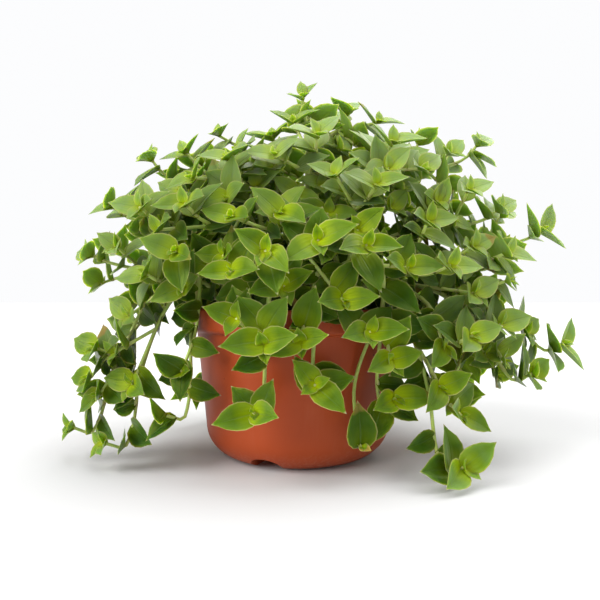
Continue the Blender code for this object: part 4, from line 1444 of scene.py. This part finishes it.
def fill_heading(tip, draw):
    """The way a filling shoot faces."""
    out = tip - FILL_CENTRE
    out.x *= FILL_HEADING_SPREAD
    out.y *= FILL_HEADING_SPREAD
    pull = FRONT_PULL if tip.y < 0.0 else 0.0
    astray = wander(draw, FILL_HEADING_WANDER)
    return (out.normalized() + FILL_HEADING_LIFT * UP + pull * FRONT + astray).normalized()


def grow_fill(vines, fixed):
    """Adds a side shoot for each filling tip, on the vine whose main stem passes nearest."""
    tips = [shoot.path[-1] for vine in vines for shoot in vine.shoots]
    draw = random.Random(FILL_SEED)
    added = 0
    for tip in fill_tips(tips):
        reaches = []
        for vine in vines:
            path = vine.shoots[0].path[1:]
            reaches.append(((path[foot_index(path, tip)] - tip).length, len(reaches)))
        for gap, number in sorted(reaches)[:NEAREST_VINES]:
            if not FILL_GAP[0] < gap < FILL_GAP[1]:
                continue
            vine = vines[number]
            main_path = vine.shoots[0].path[1:]
            others = surfaces_around(vine, vines, fixed)
            found = first_clear(
                draw,
                lambda nudge, climb: side_route(main_path, tip, nudge),
                SIDE_RADIUS,
                others,
                FILL_TRIES,
            )
            if found is not None:
                vine.shoots.append(Shoot(*found, fill_heading(tip, draw), FILL_LEAVES))
                refresh(vine)
                added += 1
                break
    return added


def grow_more_leaves(vine, number, vines, fixed, plan_of, seed):
    """More leaves on one vine, each clear of the other vines and of its own leaves, or left out."""
    draw = random.Random(seed + SEED_STEP * number)
    others = surfaces_around(vine, vines, fixed)
    own = [surface_of([outline]) for outline in vine.outlines]
    before = len(vine.leaves)

    def fits(place, length):
        points, faces = plain_blade(length, form, LEAF_THICKNESS)
        points = placed(points, place)
        return above_floor(points) and all(is_clear(points, faces, each) for each in (others, own))

    for shoot in vine.shoots:
        first_turn = draw.uniform(-FIRST_TURN, FIRST_TURN)
        fan = draw.choice(FANS_UP)
        if plan_of is fill_plan and shoot.leaf_plan is FILL_LEAVES:
            shoot.turn = first_turn
        for index, (distance, length, opening, pull) in enumerate(plan_of(shoot, draw)):
            old = pull == OLD_LIGHT_PULL
            turn = first_turn + (OLD_LEAF_SPIRAL * index if old else 0.0)
            turn += pair_turn(index, fan) + draw.uniform(-TURN_JITTER, TURN_JITTER)
            opening = math.radians(opening)
            length *= 1.0 + draw.uniform(-LEAF_JITTER, LEAF_JITTER)
            form = draw.randrange(len(LEAF_FORMS))
            stem = point_back_from_tip(shoot.fine, shoot.fine_radii, distance)
            lit = (pull, FILL_LIGHT_LEAN)
            found = fitting_frame(fits, stem, shoot, distance, turn, opening, length, *lit)
            if found is None:
                continue
            place, length = found
            keep_outline(vine, own, place, length, form)
            shoot.joints.append(distance)
            # Old leaves get a darker tone: partly their older green, partly painted shade
            tone = draw.random() * (OLD_SHADED_TONE if old else 1.0)
            vine.leaves.append(Leaf(place, length, form, youth_at(distance, draw), tone, dryness(draw)))
    refresh(vine)
    return len(vine.leaves) - before


def fill_plan(shoot, draw):
    """Leaves of a filling shoot, as far down it as it is long."""
    if shoot.leaf_plan is not FILL_LEAVES:
        return []
    length = path_length(shoot.fine)
    return [(*leaf, LIGHT_PULL) for leaf in FILL_LEAVES if leaf[0] < length - FOOT_CLEAR]


def old_plan(shoot, draw):
    """Leaves from a shoot's last planned one back towards its foot."""
    plan = []
    if shoot.leaf_plan in (LAST_LEAF, SPRIG_LEAVES):
        return plan
    length = path_length(shoot.fine)
    distance = shoot.leaf_plan[-1][0]
    while True:
        distance += OLD_LEAF_SPACING + draw.uniform(-OLD_LEAF_SPACING_JITTER, OLD_LEAF_SPACING_JITTER)
        if distance > length - 2.0 * FOOT_CLEAR:
            return plan
        point = point_back_from_tip(shoot.fine, shoot.fine_radii, distance)[0]
        low = point.z < soil_height(point.x, point.y) + OLD_LEAF_LOWEST
        if low and math.hypot(point.x, point.y) < LIP_RADIUS:
            return plan
        if in_bare_ring(point) and draw.random() > BARE_RING_LEAVES:
            continue
        leaf_length = draw.uniform(*OLD_LEAF_LENGTH)
        plan.append((distance, leaf_length, draw.uniform(*OLD_LEAF_OPENING), OLD_LIGHT_PULL))


def add_buds(vine, number):
    """Two young leaves at each tip, opened or still closed. They may touch the leaves around them."""
    draw = random.Random(BUD_SEED + SEED_STEP * number)
    for shoot_number, shoot in enumerate(vine.shoots):
        turn = shoot.turn + 0.5 * math.pi + draw.uniform(-HEART_JITTER, HEART_JITTER)
        opened = draw.random() < HEART_SHARE and len(shoot.leaf_plan) > 1
        for index, (distance, length, opening) in enumerate(HEART_LEAVES if opened else BUD_LEAVES):
            stem = point_back_from_tip(shoot.fine, shoot.fine_radii, distance)
            way_round = turn + math.pi * index
            place = leaf_frame(stem, shoot.heading, distance, way_round, math.radians(opening))
            size = length * draw.uniform(*BUD_SIZE)
            leaf = Leaf(place, size, draw.choice(BUD_FORMS), draw.uniform(*BUD_YOUTH), draw.random())
            leaf.dry = 1.0 if OLD_ROSETTES.get((number, shoot_number)) else 0.0
            vine.leaves.append(leaf)


def share_between(value, start, fade):
    """How far a value is past a start, from 0 to 1 over the fade."""
    return min(1.0, max(0.0, (value - start) / fade))


def paint_light_and_shade(leaf):
    """Paints shade on a leaf inside the dome by darkening it, and paints light on one at the dome's top or
    sides by paling it.
    """
    spot = leaf.place @ Vector((0.0, LEAF_MIDDLE * leaf.length, 0.0))
    away = spot - FILL_CENTRE
    out = math.sqrt(sum((part / half) ** 2 for part, half in zip(away, DOME_HALF_SIZE)))
    open_air = share_between(out, SHADE_UP_TO, SHADE_FADE)
    aloft = share_between(spot.z, SUN_FROM_HEIGHT, SUN_FADE_HEIGHT)
    sideways = SUN_AT_SIDE * share_between(abs(spot.x), SUN_FROM_SIDE, SUN_FADE_SIDE)
    sideways *= share_between(spot.z, SUN_SIDE_FROM_HEIGHT, SUN_SIDE_FADE_HEIGHT)
    # Painted shade: the deeper inside the dome, the darker the leaf's tone
    leaf.tone *= SHADED_TONE + (1.0 - SHADED_TONE) * open_air
    # Painted light: leaves out at the dome's top and sides are paled
    leaf.sun = share_between(out, SUN_UP_TO, SHADE_FADE) * max(aloft, sideways)


def ground_surface():
    """The pot's and the soil's surfaces, which the vines keep clear of."""
    reach = LIP_RADIUS - 2.0 * WALL_THICKNESS
    profile = [(0.0, 0.0)]
    for ring in range(GROUND_RINGS):
        profile.append((reach * (1.0 - ring / GROUND_RINGS), SOIL_EDGE))
    profile.append((0.0, SOIL_EDGE))
    points, faces = turned(profile, POT_SIDES)
    for point in points:
        if point.z >= SOIL_EDGE:
            point.z = soil_height(point.x, point.y) - SOIL_LUMP
    return [surface_of([turned(pot_profile(), POT_SIDES)]), surface_of([(points, faces)])]


def smooth_stems(vines):
    """Gives each shoot that has none yet the smooth curve of its stem."""
    for vine in vines:
        for shoot in vine.shoots:
            if not shoot.fine:
                shoot.fine, shoot.fine_radii = fine_path(shoot.path, shoot.radii)


def grow_plant():
    """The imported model's vines, then the shoots and leaves that make them as dense as the real plant."""
    fixed = ground_surface()
    vines = grow_stems(fixed)
    smooth_stems(vines)
    for number, vine in enumerate(vines):
        grow_leaves(vine, number, vines, fixed)
    counts = [sum(len(vine.leaves) for vine in vines)]
    filled = grow_fill(vines, fixed)
    smooth_stems(vines)
    for plan_of, seed in ((fill_plan, FILL_SEED), (old_plan, OLD_SEED)):
        counts.append(0)
        for number, vine in enumerate(vines):
            counts[-1] += grow_more_leaves(vine, number, vines, fixed, plan_of, seed)
    for number, vine in enumerate(vines):
        add_buds(vine, number)
        for leaf in vine.leaves:
            paint_light_and_shade(leaf)
    print(len(vines), "vines,", filled, "filling shoots, leaves", counts)
    return vines


def blade_mesh(fold, arch, sway):
    """A closed leaf one metre long, with its place on the blade kept as an attribute."""
    points, marks = [], []
    stations = BLADE_STATIONS

    def add_point(across_share, along, below):
        width = BLADE_BASE_WIDTH if along == 0.0 else half_width(along)
        width *= 1.0 - DRAWN_OUT * share_between(along, DRAWN_OUT_FROM, DRAWN_OUT_TO - DRAWN_OUT_FROM)
        across = across_share * width
        clasp = 1.0 + BLADE_CLASP * max(0.0, 1.0 - along / CLASP_WITHIN)
        height = fold * clasp * abs(across) + arch * (0.5 * along - along * along)
        height += BLADE_BULGE * width * (1.0 - (2.0 * abs(across_share) - 1.0) ** 2)
        height += BLADE_RIPPLE * abs(across_share) * math.sin(RIPPLES * along + 2.0 * across_share)
        if below:
            height -= BLADE_THICKNESS * (1.0 - THINNED * along) + BLADE_BULGE * width
        across += sway * along * along
        points.append((across, along * (1.0 + BLADE_BACK) - BLADE_BACK, height))
        marks.append((across_share, along, float(below)))
        return len(points) - 1

    shares = (-1.0, -0.5, 0.0, 0.5, 1.0)
    upper = [[add_point(share, along, False) for share in shares] for along in stations]
    lower = [(row[0], add_point(0.0, along, True), row[4]) for row, along in zip(upper, stations)]
    points.append((sway, 1.0, -0.5 * arch))
    marks.append((0.0, 1.0, 0.0))
    tip = len(points) - 1
    faces = []
    for row, onward in zip(upper, upper[1:]):
        for side in range(4):
            faces.append((row[side], row[side + 1], onward[side + 1], onward[side]))
    faces += [(upper[-1][side], upper[-1][side + 1], tip) for side in range(4)]
    for row, onward in zip(lower, lower[1:]):
        for side in range(2):
            faces.append((row[side + 1], row[side], onward[side], onward[side + 1]))
    faces += [(lower[-1][side + 1], lower[-1][side], tip) for side in range(2)]
    faces.append((*reversed(upper[0]), lower[0][1]))
    mesh = bpy.data.meshes.new("blade")
    mesh.from_pydata(points, [], faces)
    mesh.shade_smooth()
    attribute = mesh.attributes.new("blade", "FLOAT_VECTOR", "POINT")
    attribute.data.foreach_set("vector", [part for mark in marks for part in mark])
    rims = {row[side] for row in upper for side in (0, 4)} | {tip}
    sharp = mesh.attributes.new("sharp_edge", "BOOLEAN", "EDGE")
    sharp.data.foreach_set("value", [rims.issuperset(edge.vertices) for edge in mesh.edges])
    return mesh


def blade_meshes():
    """The leaf forms that the vines are dressed with: each bent a little to the left, and to the right."""
    sways = (-BLADE_SWAY, BLADE_SWAY)
    return [blade_mesh(fold, arch, sway) for sway in sways for fold, arch in LEAF_FORMS]


def new_group(name, sockets, result):
    """A board for Geometry Nodes, the wires that come in, and the sockets' identifiers, by their names."""
    tree = bpy.data.node_groups.new(name, "GeometryNodeTree")
    identifiers = {}
    for label, kind in sockets.items():
        made = tree.interface.new_socket(name=label, in_out="INPUT", socket_type="NodeSocket" + kind)
        identifiers[label] = made.identifier
    tree.interface.new_socket(name=result, in_out="OUTPUT", socket_type="NodeSocketGeometry")
    board = Board(tree)
    given = {label: board.node("NodeGroupInput", {}, {}, label) for label in sockets}
    return board, given, identifiers


def vine_tree():
    """Geometry Nodes that turn a vine's drawn lines into round stems and its points into leaves."""
    sockets = {
        "Lines and points": "Geometry",
        "Leaf forms": "Collection",
        "Leaf size": "Float",
        "Stem thickness": "Float",
        "Stem sides": "Int",
        "Leaf finish": "Material",
        "Stem finish": "Material",
    }
    board, given, identifiers = new_group("leafy_stems", sockets, "Vine")

    def named(kind, name):
        return board.node("GeometryNodeInputNamedAttribute", {"data_type": kind}, {"Name": name})

    parts = board.tree.nodes.new("GeometryNodeSeparateGeometry")
    board.fill(parts.inputs["Geometry"], given["Lines and points"])
    board.fill(parts.inputs["Selection"], named("BOOLEAN", "is_leaf"))
    points, lines = Wire(board, parts.outputs["Selection"]), Wire(board, parts.outputs["Inverted"])
    curves = board.node("GeometryNodeMeshToCurve", {}, {"Mesh": lines})
    around = {"Resolution": given["Stem sides"], "Radius": 1.0}
    profile = board.node("GeometryNodeCurvePrimitiveCircle", {}, around)
    radius = named("FLOAT", "stem_radius") * given["Stem thickness"]
    swept = {"Curve": curves, "Profile Curve": profile, "Scale": radius, "Fill Caps": True}
    stems = board.node("GeometryNodeCurveToMesh", {}, swept)
    stems = board.node("GeometryNodeSetShadeSmooth", {}, {"Geometry": stems})
    form, turn = named("INT", "form"), named("QUATERNION", "facing")
    size = named("FLOAT", "leaf_size") * given["Leaf size"]
    leaves = board.scattered(points, given["Leaf forms"], form, turn, size)
    join = board.tree.nodes.new("GeometryNodeJoinGeometry")
    for geometry, finish in ((stems, "Stem finish"), (leaves, "Leaf finish")):
        board.tree.links.new(board.painted(geometry, given[finish]).socket, join.inputs[0])
    board.hand_out("Vine", board.realized(Wire(board, join.outputs[0])))
    return board.tree, identifiers


def vine_lines(vine, name):
    """A vine as bare edges for its stems and loose points for its leaves, with what the tree reads."""
    points, edges, rows = [], [], []
    for shoot in vine.shoots:
        length = path_length(shoot.fine)
        travelled = 0.0
        for index, (point, radius) in enumerate(zip(shoot.fine, shoot.fine_radii)):
            if index:
                travelled += (point - shoot.fine[index - 1]).length
                edges.append((len(points) - 1, len(points)))
            back = length - travelled
            near = min((abs(back - joint) for joint in shoot.joints), default=1.0)
            swell = math.exp(-((near / NODE_SWELL_LENGTH) ** 2))
            points.append(point)
            youth = max(0.0, 1.0 - back / AGE_FADE)
            plain = (1.0, 0, (1.0, 0.0, 0.0, 0.0), 0.5, 0.0, 0.0)
            rows.append((False, radius * (1.0 + NODE_SWELL * swell), youth, swell, *plain))
    for leaf in vine.leaves:
        facing = leaf.place.to_quaternion()
        form = leaf.form + (len(LEAF_FORMS) if leaf.tone * 7.0 % 1.0 > 0.5 else 0)
        points.append(leaf.place.translation)
        looks = (leaf.tone, leaf.dry, leaf.sun)
        rows.append((True, 0.0, leaf.youth, 0.0, leaf.length, form, tuple(facing), *looks))
    mesh = bpy.data.meshes.new(name)
    mesh.from_pydata([tuple(point) for point in points], edges, [])
    kinds = {
        "is_leaf": "BOOLEAN",
        "stem_radius": "FLOAT",
        "youth": "FLOAT",
        "joint": "FLOAT",
        "leaf_size": "FLOAT",
        "form": "INT",
        "facing": "QUATERNION",
        "tone": "FLOAT",
        "dry": "FLOAT",
        "sun": "FLOAT",
    }
    for (label, kind), values in zip(kinds.items(), zip(*rows)):
        attribute = mesh.attributes.new(label, kind, "POINT")
        if kind == "QUATERNION":
            values = [part for value in values for part in value]
        attribute.data.foreach_set("value", values)
    return mesh


def grown_piece(name, mesh, tree, identifiers, values):
    """A plain mesh of what a tree makes of a mesh, as a new object."""
    drawn = linked(name + "_drawn", mesh)
    modifier = drawn.modifiers.new("grown", "NODES")
    modifier.node_group = tree
    for label, value in values.items():
        modifier[identifiers[label]] = value
    drawn.update_tag()
    bpy.context.view_layer.update()
    evaluated = drawn.evaluated_get(bpy.context.evaluated_depsgraph_get())
    made = bpy.data.meshes.new_from_object(evaluated)
    drawn.modifiers.remove(modifier)
    bpy.data.objects.remove(drawn)
    made.name = name
    return linked(name, made)


def crumb_mesh(draw):
    """A small angular lump about one metre across."""
    made = bmesh.new()
    bmesh.ops.create_icosphere(made, subdivisions=1, radius=0.5)
    for corner in made.verts:
        corner.co *= draw.uniform(*CRUMB_JITTER)
        corner.co.z *= CRUMB_FLATNESS
    mesh = bpy.data.meshes.new("crumb")
    made.to_mesh(mesh)
    made.free()
    return mesh


def crumb_tree():
    """Geometry Nodes that scatter crumbs over the top of the soil."""
    sockets = {
        "Ground": "Geometry",
        "Crumb forms": "Collection",
        "Crumbs per square metre": "Float",
        "Smallest": "Float",
        "Largest": "Float",
        "Seed": "Int",
        "Finish": "Material",
    }
    board, given, identifiers = new_group("scattered_crumbs", sockets, "Crumbs")

    def drawn(kind, low, high, seed_step):
        sockets = {"Min": low, "Max": high, "Seed": given["Seed"] + float(seed_step)}
        return board.node("FunctionNodeRandomValue", {"data_type": kind}, sockets)

    sockets = {"Mesh": given["Ground"], "Density": given["Crumbs per square metre"], "Seed": given["Seed"]}
    points = board.node("GeometryNodeDistributePointsOnFaces", {}, sockets)
    sockets = {"Geometry": points, "Name": "tone", "Value": drawn("FLOAT", 0.0, 1.0, 1)}
    kept = {"data_type": "FLOAT", "domain": "POINT"}
    points = board.node("GeometryNodeStoreNamedAttribute", kept, sockets)
    small = drawn("FLOAT", 0.0, 1.0, 2) ** CRUMB_SMALLNESS
    size = given["Smallest"] + small * (given["Largest"] - given["Smallest"])
    turn = drawn("FLOAT_VECTOR", (-0.5, -0.5, 0.0), (0.5, 0.5, 2.0 * math.pi), 3)
    form = drawn("INT", 0, CRUMB_FORMS - 1, 4)
    crumbs = board.realized(board.scattered(points, given["Crumb forms"], form, turn, size))
    board.hand_out("Crumbs", board.painted(crumbs, given["Finish"]))
    return board.tree, identifiers


def colour_property(name, description, value):
    return FloatVectorProperty(name=name, description=description, subtype="COLOR", default=value)


def share_property(name, description, value):
    return FloatProperty(
        name=name, description=description, subtype="FACTOR", default=value, min=0.0, max=1.0
    )


def number_property(name, description, value, **limits):
    return FloatProperty(name=name, description=description, default=value, **limits)


def length_property(name, description, value):
    return FloatProperty(
        name=name, description=description, subtype="DISTANCE", unit="LENGTH", default=value
    )


def angle_property(name, description, degrees):
    return FloatProperty(
        name=name, description=description, subtype="ANGLE", default=math.radians(degrees)
    )


class PotLook(bpy.types.PropertyGroup):
    """Colours and gloss of the pot."""

    colour: colour_property("Plastic", "Colour of the pot", (0.385, 0.060, 0.011))
    dark_colour: colour_property(
        "Darker patches", "Colour of the pot where it is less faded", (0.345, 0.050, 0.010)
    )
    dust_colour: colour_property("Dust", "Colour of dried water and dust", (0.52, 0.26, 0.17))
    roughness: share_property("Roughness", "Satin of the plastic", 0.50)


class SoilLook(bpy.types.PropertyGroup):
    """Colours of the soil and how many crumbs lie on it."""

    colour: colour_property("Peat", "Colour of dry peat", (0.060, 0.040, 0.026))
    dark_colour: colour_property("Damp peat", "Colour of damp peat", (0.016, 0.011, 0.008))
    crumb_colour: colour_property("Bark", "Colour of the palest crumbs", (0.115, 0.070, 0.040))
    moss_colour: colour_property("Moss", "Colour of the thin moss", (0.045, 0.070, 0.014))
    crumbs: IntProperty(
        name="Crumbs", description="Crumbs on a square metre of soil", default=90000, min=0, max=200000
    )


class VineLook(bpy.types.PropertyGroup):
    """Colours, gloss and thickness of the vines."""

    colour: colour_property("Leaf", "Colour of a full-grown leaf", (0.097, 0.196, 0.003))
    # The dark leaf colour is also the painted shade that leaves deep inside the dome are darkened towards
    dark_colour: colour_property("Dark leaf", "Colour of the darkest leaves", (0.016, 0.053, 0.0006))
    young_colour: colour_property("Young leaf", "Colour of the newest leaves", (0.195, 0.312, 0.012))
    # Painted light: the colour that leaves at the dome's top and sides are paled towards
    sunny_colour: colour_property(
        "Sunny leaf", "Colour of a leaf that had much sun", (0.278, 0.380, 0.132)
    )
    heart_colour: colour_property(
        "Heart", "Colour of the newest leaves where they meet", (0.360, 0.462, 0.001)
    )
    # Partly the leaf's own pale bloom, partly painted sheen
    pale_colour: colour_property("Pale patches", "Colour of a leaf's paler patches", (0.158, 0.266, 0.104))
    edge_colour: colour_property("Leaf edge", "Colour of the thin edge", (0.380, 0.340, 0.130))
    tip_colour: colour_property("Leaf tip", "Colour of the drawn-out tip", (0.450, 0.385, 0.210))
    # Partly the lower face's own paler green, partly a painted backlight glow
    underside_colour: colour_property("Underside", "Colour of a leaf's lower face", (0.215, 0.345, 0.018))
    dry_colour: colour_property("Dry leaf", "Colour where a leaf has dried", (0.260, 0.150, 0.048))
    stem_colour: colour_property("Stem", "Colour of a young stem", (0.470, 0.590, 0.130))
    old_stem_colour: colour_property("Old stem", "Colour of a stem near the soil", (0.370, 0.470, 0.095))
    roughness: share_property("Leaf roughness", "Gloss of a leaf's upper face", 0.28)
    translucence: share_property("Translucence", "How much light a leaf lets through", 0.62)
    leaf_size: number_property(
        "Leaf size", "Size of every leaf against its grown size", 1.0, min=0.5, max=1.2
    )
    stem_thickness: number_property(
        "Stem thickness", "Thickness of every stem against its grown one", 0.88, min=0.5, max=1.5
    )
    stem_sides: IntProperty(name="Stem sides", description="Faces around a stem", default=7, min=3, max=16)


class StageLook(bpy.types.PropertyGroup):
    """Floor, light and camera."""

    floor_colour: colour_property("Floor", "Colour of the floor", (0.66, 0.66, 0.66))
    floor_size: length_property("Floor size", "Side of the floor", 8.0)
    sky_strength: number_property("Sky", "Strength of the even light", 0.34)
    backdrop: number_property("Backdrop", "Brightness of what is seen behind", 0.99)
    key_strength: number_property("Key light", "Strength of the main light", 3.35)
    key_width: angle_property("Key width", "How soft the main light is", 45.0)
    top_strength: number_property("Top light", "Strength of the light from above", 3.4)
    top_width: angle_property("Top width", "How soft the light from above is", 80.0)
    fill_strength: number_property("Fill light", "Strength of the side light", 0.72)
    fill_width: angle_property("Fill width", "How soft the side light is", 80.0)
    camera_distance: length_property("Camera distance", "From the pot's axis", 0.340)
    camera_height: length_property("Camera height", "Above the floor", 0.0914)
    camera_pitch: angle_property("Camera pitch", "Down from level", 0.9)
    camera_view: angle_property("Camera view", "Angle across the picture", 53.5)
    camera_shift: number_property("Camera shift", "Sideways shift of the picture", 0.004)


class TurtleVineSettings(bpy.types.PropertyGroup):
    """All that a user may change."""

    pot: PointerProperty(type=PotLook)
    soil: PointerProperty(type=SoilLook)
    vines: PointerProperty(type=VineLook)
    stage: PointerProperty(type=StageLook)


class AddPot(bpy.types.Operator):
    """Makes the nursery pot with its lip, channels and drainage holes"""

    bl_idname = "turtle_vine.add_pot"
    bl_label = "Add pot"

    def execute(self, context):
        pot = add_mesh(
            "nursery_pot", *turned(pot_profile(FINE_ROUNDING_STEPS, LIP_CORNER_STEPS), FINE_POT_SIDES)
        )
        outward(pot)
        add_channels(pot)
        smooth(pot, POT_SMOOTH)
        pot.data.materials.clear()
        pot.data.materials.append(pot_finish(settings().pot))
        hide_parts("pot")
        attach(pot, "root")
        return {"FINISHED"}


class AddSoil(bpy.types.Operator):
    """Makes the soil with its clods, and scatters crumbs over it"""

    bl_idname = "turtle_vine.add_soil"
    bl_label = "Add soil"

    def execute(self, context):
        look = settings().soil
        soil = add_mesh("potting_soil", *soil_shape())
        outward(soil)
        smooth(soil, SOIL_SMOOTH)
        soil.data.materials.append(soil_finish(look))
        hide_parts("soil")
        self.add_crumbs(look)
        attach(soil, "root")
        return {"FINISHED"}

    def add_crumbs(self, look):
        draw = random.Random(SEED)
        forms = forms_of("crumb", [crumb_mesh(draw) for _ in range(CRUMB_FORMS)])
        reach = wall_radius(SOIL_EDGE) - WALL_THICKNESS - CRUMBS_INSIDE
        rings = [(reach * (ring + 1) / CRUMB_RINGS, 0.0) for ring in range(CRUMB_RINGS)]
        points, faces = turned([(0.0, 0.0), *rings, (0.0, 0.0)], CRUMB_SIDES)
        faces = [face for face in faces if 1 not in face]
        for point in points:
            share = math.hypot(point.x, point.y) / (reach + CRUMBS_INSIDE)
            point.z = crumbled_height(point.x, point.y, share)
        ground = bpy.data.meshes.new("ground")
        ground.from_pydata([tuple(point) for point in points], [], faces)
        values = {
            "Crumb forms": forms,
            "Crumbs per square metre": float(look.crumbs),
            "Smallest": CRUMB_SIZES[0],
            "Largest": CRUMB_SIZES[1],
            "Seed": SEED,
            "Finish": crumb_finish(look),
        }
        crumbs = grown_piece("soil_crumbs", ground, *crumb_tree(), values)
        smooth(crumbs, CRUMB_SMOOTH)
        remove_collection(forms)
        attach(crumbs, "root")


class AddVines(bpy.types.Operator):
    """Grows the vines and dresses each with round stems and full leaves"""

    bl_idname = "turtle_vine.add_vines"
    bl_label = "Add vines"

    def execute(self, context):
        look = settings().vines
        vines = grow_plant()
        blades = forms_of("blade", blade_meshes())
        group = vine_tree()
        values = {
            "Leaf forms": blades,
            "Leaf size": look.leaf_size,
            "Stem thickness": look.stem_thickness,
            "Stem sides": look.stem_sides,
            "Leaf finish": leaf_finish(look),
            "Stem finish": stem_finish(look),
        }
        for number, vine in enumerate(vines):
            node = f"vine_{number + 1:02d}"
            name = f"leafy_{node}"
            piece = grown_piece(name, vine_lines(vine, name), *group, values)
            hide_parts(node)
            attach(piece, "root")
        remove_collection(blades)
        return {"FINISHED"}


class AddStage(bpy.types.Operator):
    """Makes the floor, the lights and the camera"""

    bl_idname = "turtle_vine.add_stage"
    bl_label = "Add stage"

    def execute(self, context):
        look = settings().stage
        half = 0.5 * look.floor_size
        corners = [(-half, -half, 0.0), (half, -half, 0.0), (half, half, 0.0), (-half, half, 0.0)]
        floor = add_mesh("stage_floor", corners, [(0, 1, 2, 3)])
        floor.data.materials.append(stage_finish(look))
        self.add_sky(look)
        self.add_light("key_light", look.key_strength, look.key_width, KEY_PLACE)
        self.add_light("top_light", look.top_strength, look.top_width, TOP_PLACE)
        self.add_light("fill_light", look.fill_strength, look.fill_width, FILL_PLACE)
        self.add_camera(look)
        return {"FINISHED"}

    def add_sky(self, look):
        world = bpy.data.worlds.new("pale_sky")
        world.use_nodes = True
        board = Board(world.node_tree)
        seen = board.node("ShaderNodeLightPath", {}, {}, "Is Camera Ray")
        strength = look.sky_strength + seen * (look.backdrop - look.sky_strength)
        board.dress(world.node_tree.nodes["Background"], {"Strength": strength, "Color": SKY_COLOUR})
        bpy.context.scene.world = world

    def add_light(self, name, strength, width, place):
        lamp = bpy.data.lights.new(name, "SUN")
        lamp.energy = strength
        lamp.angle = width
        light = linked(name, lamp)
        light.location = place
        aim = Vector((0.0, 0.0, 0.5 * POT_HEIGHT)) - Vector(place)
        light.rotation_euler = aim.to_track_quat("-Z", "Y").to_euler()

    def add_camera(self, look):
        lens = bpy.data.cameras.new("camera")
        lens.sensor_fit = "HORIZONTAL"
        lens.angle = look.camera_view
        lens.shift_x = look.camera_shift
        camera = linked("camera", lens)
        camera.location = (0.0, -look.camera_distance, look.camera_height)
        camera.rotation_euler = Euler((math.radians(90.0) - look.camera_pitch, 0.0, 0.0))
        bpy.context.scene.camera = camera
        bpy.context.scene.view_settings.view_transform = "Standard"


class TurtleVinePanel(bpy.types.Panel):
    """Lists the steps and what may be changed"""

    bl_idname = "VIEW3D_PT_turtle_vine"
    bl_label = "Turtle vine"
    bl_space_type = "VIEW_3D"
    bl_region_type = "UI"
    bl_category = "Turtle vine"

    def draw(self, context):
        layout = self.layout
        steps = ((AddPot, "pot"), (AddSoil, "soil"), (AddVines, "vines"), (AddStage, "stage"))
        for operator, group in steps:
            layout.operator(operator.bl_idname)
            look = getattr(settings(), group)
            for name in look.bl_rna.properties.keys():
                if name not in ("rna_type", "name"):
                    layout.prop(look, name)


CLASSES = (
    PotLook,
    SoilLook,
    VineLook,
    StageLook,
    TurtleVineSettings,
    AddPot,
    AddSoil,
    AddVines,
    AddStage,
    TurtleVinePanel,
)


def register():
    for each in CLASSES:
        bpy.utils.register_class(each)
    bpy.types.Scene.turtle_vine = PointerProperty(type=TurtleVineSettings)


def unregister():
    del bpy.types.Scene.turtle_vine
    for each in reversed(CLASSES):
        bpy.utils.unregister_class(each)


def main():
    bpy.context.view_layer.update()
    register()
    bpy.ops.turtle_vine.add_pot()
    bpy.ops.turtle_vine.add_soil()
    bpy.ops.turtle_vine.add_vines()
    bpy.ops.turtle_vine.add_stage()


if __name__ == "__main__":
    main()
